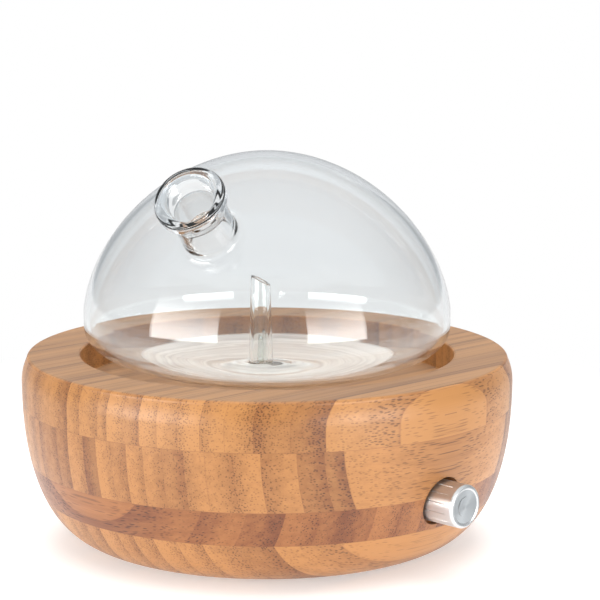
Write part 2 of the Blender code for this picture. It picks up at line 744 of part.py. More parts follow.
def make_knob(carrier):
    """Knob, grub screw and shaft, on the potentiometer's axis. Local +Z points out."""
    shaft_room = POT_SHAFT_R + GAP
    face_in = KNOB_FACE_Y - 0.0003
    outline = [
        (0, face_in),
        (KNOB_R - KNOB_CHAMFER - 0.0009, face_in),
        (KNOB_R - KNOB_CHAMFER - 0.0003, KNOB_FACE_Y),
        (KNOB_R - KNOB_CHAMFER, KNOB_FACE_Y),
        (KNOB_R, KNOB_FACE_Y - KNOB_CHAMFER),
        (KNOB_R, KNOB_BACK_Y + 0.0003),
        (KNOB_R - 0.0003, KNOB_BACK_Y),
        (KNOB_NUT_ROOM_R, KNOB_BACK_Y),
        (KNOB_NUT_ROOM_R, KNOB_BACK_Y + KNOB_NUT_ROOM_DEEP),
        (shaft_room, KNOB_BACK_Y + KNOB_NUT_ROOM_DEEP),
        (shaft_room, POT_SHAFT_END_Y + GAP),
        (0, POT_SHAFT_END_Y + GAP),
    ]
    knob_mesh = spun("control_knob", outline, MEDIUM)
    knob = place("control_knob", knob_mesh, "aluminium", turn=OUT_OF_FRONT, parent=carrier)
    grub_hole = spun("grub_hole", disc(GRUB_R + GAP, POT_SHAFT_R - GAP, KNOB_R + OVERSHOOT), TINY)
    grub_at = (0, -GRUB_Y, 0)
    hole = place("grub_hole", grub_hole, at=grub_at, turn=(pi, 0, 0), parent=carrier)
    join_by(knob, hole, "DIFFERENCE")

    grub_low = POT_SHAFT_R + GAP
    grub_high = KNOB_R - 0.0006
    drive_r = 0.55 * GRUB_R
    grub = [
        (0, grub_low),
        (GRUB_R, grub_low),
        (GRUB_R, grub_high),
        (drive_r, grub_high),
        (drive_r, grub_high - 0.0012),
        (0, grub_high - 0.0012),
    ]
    grub_mesh = spun("knob_grub_screw", grub, TINY)
    place("knob_grub_screw", grub_mesh, "steel", at=grub_at, turn=(pi, 0, 0), parent=carrier)

    shaft_inner = POT_CASE_BACK_Y + 0.0035
    shaft = disc(POT_SHAFT_R, shaft_inner, POT_SHAFT_END_Y, edge=0.0005)
    shaft_mesh = spun("potentiometer_shaft", shaft, SMALL)
    place("potentiometer_shaft", shaft_mesh, "brass", turn=OUT_OF_FRONT, parent=carrier)


def make_potentiometer():
    shaft_hole = POT_SHAFT_R + SHAFT_PLAY
    case_front = KNOB_WEB_BACK_Y - GAP
    shaft_room_back = POT_CASE_BACK_Y + 0.003
    case = [
        (0, POT_CASE_BACK_Y),
        (POT_CASE_R - 0.0006, POT_CASE_BACK_Y),
        (POT_CASE_R, POT_CASE_BACK_Y + 0.0006),
        (POT_CASE_R, case_front),
        (POT_BUSHING_R, case_front),
        (POT_BUSHING_R, POT_BUSHING_END_Y),
        (shaft_hole, POT_BUSHING_END_Y),
        (shaft_hole, shaft_room_back),
        (0, shaft_room_back),
    ]
    at = (0, 0, KNOB_Z)
    case_mesh = spun("potentiometer_case", case, SMALL)
    place("potentiometer_case", case_mesh, "steel", at=at, turn=OUT_OF_FRONT)
    washer_low = KNOB_WELL_FLOOR_Y + GAP / 3
    washer_high = washer_low + POT_WASHER_THICK
    washer = tube(POT_BUSHING_R + GAP, POT_NUT_R, washer_low, washer_high)
    washer_mesh = spun("potentiometer_washer", washer, SMALL, ring=True)
    place("potentiometer_washer", washer_mesh, "steel", at=at, turn=OUT_OF_FRONT)
    nut = hexagon(POT_NUT_R, POT_BUSHING_R + GAP, POT_NUT_THICK)
    nut_at = (0, -(washer_high + GAP / 3), KNOB_Z)
    place("potentiometer_nut", nut, "steel", at=nut_at, turn=OUT_OF_FRONT)


# ---------------------------------------------------------------- power jack


def make_jack():
    at = (0, 0, JACK_Z)
    flange_low = JACK_WELL_FLOOR_Y + GAP
    flange_high = flange_low + JACK_FLANGE_THICK
    mouth_floor = flange_high - JACK_MOUTH_DEEP
    pin_room = JACK_PIN_R + GAP
    pin_foot = mouth_floor - 0.003
    body = [
        (0, JACK_BACK_Y),
        (JACK_BARREL_R, JACK_BACK_Y),
        (JACK_BARREL_R, flange_low),
        (JACK_FLANGE_R, flange_low),
        (JACK_FLANGE_R, flange_high - 0.0004),
        (JACK_FLANGE_R - 0.0004, flange_high),
        (JACK_MOUTH_R, flange_high),
        (JACK_MOUTH_R, mouth_floor),
        (pin_room, mouth_floor),
        (pin_room, pin_foot),
        (0, pin_foot),
    ]
    place("power_jack", spun("power_jack", body, SMALL), "black_plastic", at=at, turn=OUT_OF_BACK)
    pin = disc(JACK_PIN_R, pin_foot + GAP, flange_high - 0.001, edge=0.0003)
    place("jack_pin", spun("jack_pin", pin, TINY), "brass", at=at, turn=OUT_OF_BACK)
    nut_at = (0, JACK_WEB_BACK_Y - GAP - JACK_NUT_THICK, JACK_Z)
    nut = hexagon(JACK_NUT_R, JACK_BARREL_R + GAP, JACK_NUT_THICK)
    place("jack_nut", nut, "steel", at=nut_at, turn=OUT_OF_BACK)


# ---------------------------------------------------------------- air pump


def make_motor():
    at = (MOTOR_X, PUMP_Y, PUMP_Z)
    boss_r = 0.0028
    shaft_hole = MOTOR_SHAFT_R + SHAFT_PLAY
    inner_r = MOTOR_R - MOTOR_WALL
    can = [
        (inner_r, -MOTOR_HALF),
        (MOTOR_R, -MOTOR_HALF),
        (MOTOR_R, MOTOR_HALF - 0.001),
        (MOTOR_R - 0.001, MOTOR_HALF),
        (boss_r, MOTOR_HALF),
        (boss_r, MOTOR_HALF + 0.0015),
        (shaft_hole, MOTOR_HALF + 0.0015),
        (shaft_hole, MOTOR_HALF - 0.0015),
        (inner_r, MOTOR_HALF - 0.0015),
    ]
    can_mesh = spun("motor_can", can, MEDIUM, ring=True)
    place("motor_can", can_mesh, "steel", at=at, turn=ALONG_X)
    cap = tube(shaft_hole, inner_r - GAP, -MOTOR_HALF, 0.0035 - MOTOR_HALF)
    cap_mesh = spun("motor_end_cap", cap, MEDIUM, ring=True)
    place("motor_end_cap", cap_mesh, "white_plastic", at=at, turn=ALONG_X)
    magnet_section = tube(MAGNET_INNER_R, inner_r - GAP, -0.0075, 0.0115)
    for name, middle in (("upper_magnet", pi), ("lower_magnet", 0)):
        mesh = spun(name, magnet_section, 8, sweep=MAGNET_ARC)
        magnet = place(name, mesh, "magnet", at=at)
        magnet.rotation_mode = "ZYX"
        magnet.rotation_euler = (0, pi / 2, middle - MAGNET_ARC / 2)


def make_rotor(carrier):
    """Shaft, armature and commutator, then the eccentric, about the motor's axis."""
    shaft_end = CRANK_X - MOTOR_X + 0.0035
    armature = [
        (0, -MOTOR_HALF - 0.0012),
        (MOTOR_SHAFT_R, -MOTOR_HALF - 0.0012),
        (MOTOR_SHAFT_R, -0.0110),
        (0.0028, -0.0110),
        (0.0028, -0.0080),
        (MOTOR_CORE_R - 0.0008, -0.0070),
        (MOTOR_CORE_R, -0.0055),
        (MOTOR_CORE_R, 0.0105),
        (MOTOR_CORE_R - 0.0008, 0.0120),
        (MOTOR_SHAFT_R, 0.0125),
        (MOTOR_SHAFT_R, shaft_end),
        (0, shaft_end),
    ]
    mesh = spun("motor_armature", armature, SMALL)
    place("motor_armature", mesh, "copper", at=(MOTOR_X, 0, 0), turn=ALONG_X, parent=carrier)
    half = 0.0019
    cam_mesh = spun("crank_eccentric", disc(ECCENTRIC_R, -half, half), SMALL)
    cam_at = (CRANK_X, 0, ECCENTRIC_THROW)
    cam = place("crank_eccentric", cam_mesh, "brass", at=cam_at, turn=ALONG_X, parent=carrier)
    drill_mesh = spun("eccentric_hole", disc(MOTOR_SHAFT_R + GAP, -2 * half, 2 * half), TINY)
    drill = place("eccentric_hole", drill_mesh, at=(CRANK_X, 0, 0), turn=ALONG_X, parent=carrier)
    join_by(cam, drill, "DIFFERENCE")


def make_rod(carrier):
    """Connecting rod: a ring round the eccentric, a neck and the hub in the diaphragm."""
    ring_outer = ROD_RING_R + ROD_RING_WALL
    band = tube(ROD_RING_R, ring_outer, -ROD_THICK / 2, ROD_THICK / 2)
    ring = spun("connecting_rod", band, MEDIUM, ring=True)
    rod = place("connecting_rod", ring, "white_plastic", turn=ALONG_X, parent=carrier)
    hub_end = FRAME_HALF + GAP / 2
    neck_start = ROD_RING_R + ROD_RING_WALL / 2
    neck = spun("rod_neck", disc(0.0019, neck_start, hub_end - 0.0005), TINY)
    hub = spun("rod_hub", disc(HUB_R, hub_end - 0.0018, hub_end), SMALL)
    for name, mesh in (("rod_neck", neck), ("rod_hub", hub)):
        join_by(rod, place(name, mesh, turn=OUT_OF_FRONT, parent=carrier), "UNION")


def make_pump_body():
    frame_long = FRAME_FRONT_X - FRAME_BACK_X
    middle_x = (FRAME_FRONT_X + FRAME_BACK_X) / 2
    frame_mesh = block("pump_frame", (frame_long, 2 * FRAME_HALF, 2 * FRAME_HALF), edge=0.0010)
    frame = place("pump_frame", frame_mesh, "black_plastic", at=(middle_x, PUMP_Y, PUMP_Z))
    axis_at = (0, PUMP_Y, PUMP_Z)
    window_at = (CRANK_X, PUMP_Y, PUMP_Z)
    room_back = FRAME_BACK_X + 0.0028
    seat_low = FRAME_HALF - DIAPHRAGM_THICK - GAP
    face_out = FRAME_HALF + OVERSHOOT
    boss_r = 0.0032
    window_r = HUB_R + 0.001
    window_low = 0.006
    cutters = (
        ("crank_room", disc(CRANK_ROOM_R, room_back, FRAME_FRONT_X + OVERSHOOT), axis_at, ALONG_X),
        ("boss_room", disc(boss_r, FRAME_BACK_X - OVERSHOOT, room_back + OVERSHOOT), axis_at, ALONG_X),
        ("hub_window", disc(window_r, window_low, face_out), window_at, OUT_OF_FRONT),
        ("diaphragm_seat", disc(DIAPHRAGM_R + GAP, seat_low, face_out), window_at, OUT_OF_FRONT),
    )
    for name, outline, at, turn in cutters:
        join_by(frame, place(name, spun(name, outline, MEDIUM), at=at, turn=turn), "DIFFERENCE")

    web_z = seat_low + GAP / 2
    diaphragm = [
        (HUB_R + GAP, web_z + 0.0003),
        (0.0058, web_z + 0.0003),
        (0.0066, web_z),
        (DIAPHRAGM_R, web_z),
        (DIAPHRAGM_R, web_z + DIAPHRAGM_THICK),
        (0.0066, web_z + DIAPHRAGM_THICK),
        (0.0058, web_z + DIAPHRAGM_THICK + 0.0001),
        (HUB_R + GAP, web_z + DIAPHRAGM_THICK + 0.0001),
    ]
    mesh = spun("diaphragm", diaphragm, SMALL, ring=True)
    place("diaphragm", mesh, "rubber", at=window_at, turn=OUT_OF_FRONT)


def make_pump_head():
    """Valve plate and head, on the pump frame's face towards -Y."""
    wide = FRAME_FRONT_X - FRAME_BACK_X
    tall = 2 * FRAME_HALF
    middle_x = (FRAME_FRONT_X + FRAME_BACK_X) / 2
    plate_face = PUMP_Y - FRAME_HALF - GAP
    plate_at = (middle_x, plate_face - VALVE_PLATE_THICK / 2, PUMP_Z)
    plate_mesh = block("valve_plate", (wide, VALVE_PLATE_THICK, tall), edge=0.0004)
    plate = place("valve_plate", plate_mesh, "white_plastic", at=plate_at)
    room = disc(HUB_R + 0.0006, -0.003, 0.0012)
    room_at = (CRANK_X, plate_face, PUMP_Z)
    room_cutter = place("stroke_room", spun("stroke_room", room, SMALL), at=room_at, turn=OUT_OF_FRONT)
    join_by(plate, room_cutter, "DIFFERENCE")
    port = spun("valve_port", disc(NOZZLE_HOLE_R, -OVERSHOOT, VALVE_PLATE_THICK + OVERSHOOT), TINY)
    for i, side in enumerate((-1, 1)):
        port_at = (CRANK_X, plate_face, PUMP_Z + side * 0.0025)
        cutter = place(f"valve_port_{i + 1}", port, at=port_at, turn=OUT_OF_FRONT)
        join_by(plate, cutter, "DIFFERENCE")

    head_face = plate_face - VALVE_PLATE_THICK - GAP
    head_at = (middle_x, head_face - HEAD_THICK / 2, PUMP_Z)
    head_mesh = block("pump_head", (wide, HEAD_THICK, tall), edge=0.0010)
    head = place("pump_head", head_mesh, "black_plastic", at=head_at)
    nozzle_end = HEAD_THICK + NOZZLE_LENGTH
    nozzle_outline = [
        (0, HEAD_THICK / 2),
        (NOZZLE_R, HEAD_THICK / 2),
        (NOZZLE_R, nozzle_end - 0.001),
        (NOZZLE_R - 0.0004, nozzle_end),
        (0, nozzle_end),
    ]
    outlet_at = (CRANK_X, head_face, PUMP_Z + NOZZLE_RISE)
    inlet_at = (CRANK_X, head_face, PUMP_Z - NOZZLE_RISE)
    nozzle = place("nozzle", spun("nozzle", nozzle_outline, SMALL), at=outlet_at, turn=OUT_OF_FRONT)
    join_by(head, nozzle, "UNION")
    way = spun("air_way", disc(NOZZLE_HOLE_R, -OVERSHOOT, nozzle_end + OVERSHOOT), TINY)
    for name, at in (("outlet_way", outlet_at), ("inlet_way", inlet_at)):
        join_by(head, place(name, way, at=at, turn=OUT_OF_FRONT), "DIFFERENCE")


def make_pump_mount():
    """Foam cradle under the motor and the strap over it. Local X, Y, Z are world Y, Z, X."""
    trough_r = MOTOR_R + GAP
    half = trough_r - 0.0004
    low = COVER_THICK + GAP - PUMP_Z
    high = CRADLE_TOP_Z - PUMP_Z
    reach = sqrt(trough_r**2 - high**2)
    turn_in = atan2(high, reach)
    trough = arc(ORIGIN, trough_r, turn_in, -pi - turn_in, 12)
    turn = (pi / 2, 0, pi / 2)
    cradle_outline = [(-half, low), (half, low), (half, high), *trough, (-half, high)]
    cradle_mesh = pulled("pump_cradle", cradle_outline, CRADLE_LONG)
    place("pump_cradle", cradle_mesh, "foam", at=(MOTOR_X, PUMP_Y, PUMP_Z), turn=turn)

    inner = MOTOR_R + 2 * GAP
    outer = inner + STRAP_THICK
    tab = outer + 0.004
    tab_top = low + STRAP_THICK
    strap_outline = [
        (tab, low),
        (tab, tab_top),
        (outer, tab_top),
        *arc(ORIGIN, outer, 0, pi, 14),
        (-outer, tab_top),
        (-tab, tab_top),
        (-tab, low),
        (-inner, low),
        *arc(ORIGIN, inner, pi, 0, 14),
        (inner, low),
    ]
    strap_mesh = pulled("pump_strap", strap_outline, STRAP_WIDE)
    place("pump_strap", strap_mesh, "black_plastic", at=(MOTOR_X, PUMP_Y, PUMP_Z), turn=turn)


# ---------------------------------------------------------------- hose, board and leads


def make_hose():
    nozzle_z = PUMP_Z + NOZZLE_RISE
    head_back = PUMP_Y - FRAME_HALF - 2 * GAP - VALVE_PLATE_THICK - HEAD_THICK
    points = [
        (CRANK_X, head_back - 0.001, nozzle_z),
        (CRANK_X, head_back - NOZZLE_LENGTH, nozzle_z),
        (CRANK_X, head_back - NOZZLE_LENGTH - 0.003, nozzle_z),
        (0.0145, -0.0270, 0.0245),
        (0.0060, -0.0250, 0.0230),
        (0.0010, -0.0150, 0.0200),
        (0, -0.0045, 0.0195),
        (0, 0, 0.0260),
        (0, 0, BARB_BOTTOM_Z - 0.001),
        (0, 0, SOCKET_BOTTOM_Z - 0.001),
    ]
    hose = round_path("air_hose", points, HOSE_R, wall=HOSE_WALL, steps=2, sides=2)
    wall_of(place("air_hose", hose, "silicone"), HOSE_WALL)


def make_board():
    x, y = BOARD_CENTRE
    board_mesh = block("control_board", BOARD_SIZE)
    place("control_board", board_mesh, "board", at=(x, y, BOARD_Z + BOARD_SIZE[2] / 2))
    top = BOARD_Z + BOARD_SIZE[2] + GAP
    capacitor = spun("capacitor", disc(0.0032, 0, 0.0075, edge=0.0004), SMALL)
    place("capacitor", capacitor, "black_plastic", at=(x - 0.0115, y - 0.0060, top))
    chip_size = (0.005, 0.004, 0.0016)
    chip_at = (x + 0.001, y + 0.003, top + chip_size[2] / 2)
    place("timer_chip", block("timer_chip", chip_size, edge=0.0002), "black_plastic", at=chip_at)
    socket_size = (0.009, 0.0045, 0.005)
    socket_at = (x + 0.011, y - 0.006, top + socket_size[2] / 2)
    connector = block("lead_connector", socket_size, edge=0.0003)
    place("lead_connector", connector, "white_plastic", at=socket_at)


def make_leads():
    top = BOARD_Z + BOARD_SIZE[2] + 2 * GAP
    cap_back = MOTOR_X - MOTOR_HALF - 2 * GAP
    jack_end = JACK_BACK_Y - 2 * GAP
    pot_end = -POT_CASE_BACK_Y + 2 * GAP
    paths = {
        "motor_lead_red": (
            (cap_back, PUMP_Y - 0.006, PUMP_Z),
            (cap_back - 0.0035, PUMP_Y - 0.009, PUMP_Z - 0.001),
            (-0.0260, -0.002, 0.0130),
            (-0.0210, -0.0140, top),
        ),
        "motor_lead_black": (
            (cap_back, PUMP_Y + 0.006, PUMP_Z),
            (cap_back - 0.0060, PUMP_Y + 0.002, PUMP_Z - 0.001),
            (-0.0295, -0.002, 0.0150),
            (-0.0235, -0.0165, top),
        ),
        "jack_lead_red": (
            (-0.001, jack_end, JACK_Z - 0.0025),
            (-0.016, 0.044, 0.020),
            (-0.034, 0.020, 0.018),
            (-0.032, -0.006, 0.016),
            (-0.0180, -0.0145, top),
        ),
        "jack_lead_black": (
            (-0.001, jack_end, JACK_Z + 0.0025),
            (-0.014, 0.048, 0.026),
            (-0.038, 0.022, 0.022),
            (-0.036, -0.010, 0.019),
            (-0.0150, -0.0150, top),
        ),
        "potentiometer_lead": (
            (0, pot_end, KNOB_Z - 0.003),
            (0, -0.0520, 0.0205),
            (-0.0020, -0.0425, 0.0200),
            (-0.0040, -0.0345, 0.0140),
            (-0.0040, -0.0305, top),
        ),
    }
    finishes = ("red_wire", "black_wire", "red_wire", "black_wire", "grey_wire")
    for (name, points), finish in zip(paths.items(), finishes):
        place(name, round_path(name, points, LEAD_R, steps=3, sides=1), finish)


# ---------------------------------------------------------------- the whole


def main():
    clear_scene()
    make_base()
    make_cover()
    make_screws_and_feet()
    make_socket()

    ring_pivot = pivot("ring_pivot", (0, 0, RING_Z))
    make_o_ring(ring_pivot)
    glass_pivot = pivot("glass_pivot", (0, 0, GLASS_FOOT_Z))
    make_reservoir(glass_pivot, GLASS_FOOT_Z)
    make_glass_tubes(glass_pivot, GLASS_FOOT_Z)

    make_knob(pivot("knob_pivot", (0, 0, KNOB_Z)))
    make_potentiometer()
    make_jack()

    make_motor()
    make_rotor(pivot("rotor_pivot", (0, PUMP_Y, PUMP_Z)))
    make_rod(pivot("rod_pivot", (CRANK_X, PUMP_Y, PUMP_Z)))
    make_pump_body()
    make_pump_head()
    make_pump_mount()
    make_hose()
    make_board()
    make_leads()


main()
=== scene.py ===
"""Looks of the nebulising essential oil diffuser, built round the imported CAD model.

Metres, +Z up, in the CAD's own frame: the origin is the centre of the base's flat
underside, the control knob faces -Y and the power jack +Y.
"""

import random
from math import atan2, cos, pi, radians, sin, sqrt, tan

import bmesh
import bpy
from mathutils import Matrix, Vector


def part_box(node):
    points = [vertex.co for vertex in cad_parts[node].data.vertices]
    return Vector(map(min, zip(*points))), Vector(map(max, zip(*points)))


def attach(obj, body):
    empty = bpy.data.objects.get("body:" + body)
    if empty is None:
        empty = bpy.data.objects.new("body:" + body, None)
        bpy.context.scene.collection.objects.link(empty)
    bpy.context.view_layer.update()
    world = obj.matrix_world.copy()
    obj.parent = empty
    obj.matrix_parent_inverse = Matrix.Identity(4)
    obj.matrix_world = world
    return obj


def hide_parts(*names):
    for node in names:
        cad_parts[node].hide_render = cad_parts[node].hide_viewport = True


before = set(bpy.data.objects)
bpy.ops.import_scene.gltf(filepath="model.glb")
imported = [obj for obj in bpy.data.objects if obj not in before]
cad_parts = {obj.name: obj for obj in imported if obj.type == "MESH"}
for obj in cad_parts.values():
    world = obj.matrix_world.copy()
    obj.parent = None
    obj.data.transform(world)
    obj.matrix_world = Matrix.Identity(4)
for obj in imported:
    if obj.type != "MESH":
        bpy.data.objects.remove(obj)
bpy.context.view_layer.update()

MM = 0.001


def way_out(turn, rise=0):
    """The way out from the object. Turn 0 is -Y, positive towards +X; rise is upwards."""
    return Vector((cos(rise) * sin(turn), -cos(rise) * cos(turn), sin(rise)))


# ---------------- sizes

# Turned base
BASE_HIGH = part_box("base_housing")[1]
BASE_R = BASE_HIGH.x
BASE_TOP_Z = BASE_HIGH.z
BASE_WIDEST_Z = BASE_TOP_Z - 8.6 * MM
BASE_TOP_R = BASE_R - 2.5 * MM
BASE_FLAT_R = 54.4 * MM
BASE_CURVE = (2.407, 2.323)  # superellipse powers of the side, across and up
RIM_ROUNDING = 1.4 * MM
RECESS_R = 64.7 * MM
RECESS_EDGE = 0.9 * MM
RECESS_FLOOR_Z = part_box("air_socket")[1].z + 0.15 * MM
CAVITY_R = 60 * MM
CAVITY_Z = (16.6 * MM, 46 * MM)
MOUTH_R = 42 * MM
BOARD_JOINTS_Z = (16.6 * MM, 28.5 * MM, 48.5 * MM)  # glue planes between the four boards
BASE_SIDES = 256
BORE_SIDES = 96

# Bottom cover
COVER_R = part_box("bottom_cover")[1].x
COVER_THICK = 3 * MM
PLAY = 0.3 * MM  # gap between neighbouring pieces

# Air socket in the deck
SOCKET_R = 8 * MM
SOCKET_FLANGE_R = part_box("air_socket")[1].x
SOCKET_FLANGE_THICK = 1.7 * MM

# Glass reservoir
GLASS_LOW, GLASS_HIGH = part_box("glass_reservoir")
STEM_LOW, STEM_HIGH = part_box("air_stem")
CHIMNEY_LOW, CHIMNEY_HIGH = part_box("glass_chimney")
GLASS_R = GLASS_HIGH.x
GLASS_WALL = 1.9 * MM
GLASS_TOP_Z = BASE_TOP_Z + 69.5 * MM
GLASS_WIDEST_Z = BASE_TOP_Z + 13.85 * MM
GLASS_UPPER_CURVE = (1.942, 1.725)
GLASS_LOWER_CURVE = (0.655, 3.8)
GLASS_FOOT_R = 20 * MM
GLASS_FOOT_Z = GLASS_LOW.z
GLASS_FLOOR_Z = CHIMNEY_LOW.z - PLAY
GLASS_FLOOR_THICK = 2.8 * MM
GLASS_SIDES = 192
NEAR_DOME = 0.004  # level, from dome_level, within which a point belongs to the dome's skin
# top of the painted reflection haze on the vessel's floor
ON_DOME = 1e-4  # level within which it lies on the exact curve
SHEEN_TOP_Z = GLASS_LOW.z + 8.4 * MM
STEM_R = STEM_HIGH.x
STEM_BORE_R = 3.2 * MM
JET_FOOT_R = 1.5 * MM
JET_TIP_R = 0.8 * MM
JET_BORE_R = 0.7 * MM
JET_HOLE_R = 0.3 * MM
FEED_R = 0.5 * MM
FEED_WALL = 0.2 * MM
FEED_SIDES = 20
CHIMNEY_WALL = (1.4 * MM, 1.2 * MM)  # at the foot and at the top
CHIMNEY_MIDDLE = (CHIMNEY_LOW + CHIMNEY_HIGH) / 2
CHIMNEY_FOOT_R = (CHIMNEY_HIGH.x - CHIMNEY_LOW.x) / 2
CHIMNEY_TOP_R = 3.3 * MM
CHIMNEY_FLARE = 1.2 * MM  # where its foot runs out into the floor
CHIMNEY_SLANT = radians(27)

# Spout
SPOUT_TURN = radians(-66)
SPOUT_RISE = radians(38.9)
SPOUT_FOOT_R = 48.4 * MM
SPOUT_FOOT_Z = BASE_TOP_Z + 46.9 * MM
SPOUT_LENGTH = 22.8 * MM
SPOUT_NECK_R = 9.2 * MM
SPOUT_LIP_R = 11.9 * MM
SPOUT_LIP_HIGH = 3.4 * MM
SPOUT_BORE_R = 7.3 * MM
SPOUT_COLLAR = (4.2 * MM, 3.6 * MM)  # how far the outer bend into the dome spreads and rises
BORE_COLLAR = (3.2 * MM, 3.2 * MM)  # the same for the bend inside
SPOUT_SIDES = 96

# Knob
KNOB_LOW, KNOB_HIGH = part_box("control_knob")
KNOB_Z = (KNOB_LOW.z + KNOB_HIGH.z) / 2
KNOB_R = KNOB_HIGH.x
KNOB_LENGTH = KNOB_HIGH.y - KNOB_LOW.y
KNOB_WELL_R = 8.3 * MM
KNOB_WELL_FLOOR_Y = 76.5 * MM
KNOB_WEB_BACK_Y = 70 * MM
POT_ROOM_R = 9.2 * MM
POT_HOLE_R = 3.8 * MM

# Power jack
JACK_LOW, JACK_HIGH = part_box("power_jack")
JACK_Z = (JACK_LOW.z + JACK_HIGH.z) / 2
JACK_WELL_R = 7 * MM
JACK_WELL_FLOOR_Y = 72 * MM
JACK_WEB_BACK_Y = 64 * MM
JACK_NUT_ROOM_R = 8.5 * MM
JACK_HOLE_R = 4.3 * MM

# Camera: it looks at the middle of the rim from the front left, the spout's side
CAMERA_TURN = radians(-44)
CAMERA_RISE = radians(11.11)
CAMERA_DISTANCE = 0.7798
CAMERA_LENS = 134.6
CAMERA_SHIFT = (0.0548, 0.0842)
TO_CAMERA = way_out(CAMERA_TURN)
VIEW_RIGHT = Vector((cos(CAMERA_TURN), sin(CAMERA_TURN), 0))


# ---------------- mesh helpers

ON_AXIS = 1e-7  # a smaller radius is a point on the axis
CRISP = radians(35)  # edges over this angle stay crisp


def link(name, data):
    obj = bpy.data.objects.new(name, data)
    bpy.context.scene.collection.objects.link(obj)
    return obj


def add_piece(name, mesh, body, materials, place=(0, 0, 0)):
    """Links a mesh as a visible piece of the object, with its origin at that place."""
    obj = link(name, mesh)
    obj.location = place
    for material in materials:
        mesh.materials.append(material)
    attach(obj, body)
    return obj


def bezier(p0, p1, p2, p3, steps):
    """Points on a cubic Bezier, both ends included."""
    points = []
    for i in range(steps + 1):
        t = i / steps
        u = 1 - t
        points.append(u**3 * p0 + 3 * u * u * t * p1 + 3 * u * t * t * p2 + t**3 * p3)
    return points


def rounded(points, steps=4):
    """An outline from (radius, height, corner) points, each corner bent over that length."""
    out = []
    for i, point in enumerate(points):
        here = Vector(point[:2])
        corner = point[2]
        if i in (0, len(points) - 1) or corner <= 0:
            out.append((here.x, here.y))
            continue
        before = Vector(points[i - 1][:2]) - here
        after = Vector(points[i + 1][:2]) - here
        reach = min(corner, 0.45 * before.length, 0.45 * after.length)
        start = here + before.normalized() * reach
        stop = here + after.normalized() * reach
        for j in range(steps + 1):
            t = j / steps
            bent = (1 - t) ** 2 * start + 2 * t * (1 - t) * here + t * t * stop
            out.append((bent.x, bent.y))
    return out


def skin(bm, pairs):
    """Faces between each pair of rings of points. A ring of one point is a tip."""
    for low, high in pairs:
        sides = max(len(low), len(high))
        for k in range(sides):
            n = (k + 1) % sides
            loop = [low[k % len(low)], low[n % len(low)], high[n % len(high)], high[k % len(high)]]
            corners = list(dict.fromkeys(loop))
            if len(corners) > 2:
                bm.faces.new(corners)


def revolve(bm, outline, sides, closed=False, shift=None):
    """Turns (radius, height) points about Z. shift(angle, radius, height, i) may move a point."""
    rings = []
    for i, (radius, height) in enumerate(outline):
        if radius < ON_AXIS:
            rings.append([bm.verts.new((0, 0, height))])
            continue
        ring = []
        for k in range(sides):
            angle = 2 * pi * k / sides
            point = Vector((radius * cos(angle), radius * sin(angle), height))
            if shift:
                point += shift(angle, radius, height, i)
            ring.append(bm.verts.new(point))
        rings.append(ring)
    pairs = list(zip(rings, rings[1:]))
    if closed:
        pairs.append((rings[-1], rings[0]))
    skin(bm, pairs)


def mesh_of(name, bm, sharp=None):
    """Finishes a bmesh as a smooth-shaded mesh, with edges over the sharp angle kept crisp."""
    bmesh.ops.recalc_face_normals(bm, faces=bm.faces)
    mesh = bpy.data.meshes.new(name)
    bm.to_mesh(mesh)
    bm.free()
    mesh.shade_smooth()
    if sharp:
        mesh.set_sharp_from_angle(angle=sharp)
    return mesh


def turned(name, outline, sides, closed=False):
    """A mesh made by turning an outline of (radius, height) points about Z."""
    bm = bmesh.new()
    revolve(bm, outline, sides, closed)
    return mesh_of(name, bm, CRISP)


def broad_shading(obj):
    """Shades bevels from the large faces beside them."""
    modifier = obj.modifiers.new("broad_shading", "WEIGHTED_NORMAL")
    modifier.mode = "FACE_AREA"
    modifier.keep_sharp = True


def cut_away(mesh, cutters):
    """Takes the cutters, (mesh, matrix) pairs, out of a mesh and gives back the new mesh."""
    target = link("cut_target", mesh)
    helpers = []
    for i, (cutter, matrix) in enumerate(cutters):
        helper = link(f"cutter_{i}", cutter)
        helper.matrix_world = matrix
        helpers.append(helper)
        modifier = target.modifiers.new(f"cut_{i}", "BOOLEAN")
        modifier.operation = "DIFFERENCE"
        modifier.solver = "EXACT"
        modifier.object = helper
    bpy.context.view_layer.update()
    depsgraph = bpy.context.evaluated_depsgraph_get()
    result = bpy.data.meshes.new_from_object(target.evaluated_get(depsgraph))
    for obj in [target, *helpers]:
        bpy.data.objects.remove(obj)
    result.shade_smooth()
    result.set_sharp_from_angle(angle=CRISP)
    return result


# ---------------- shader helpers


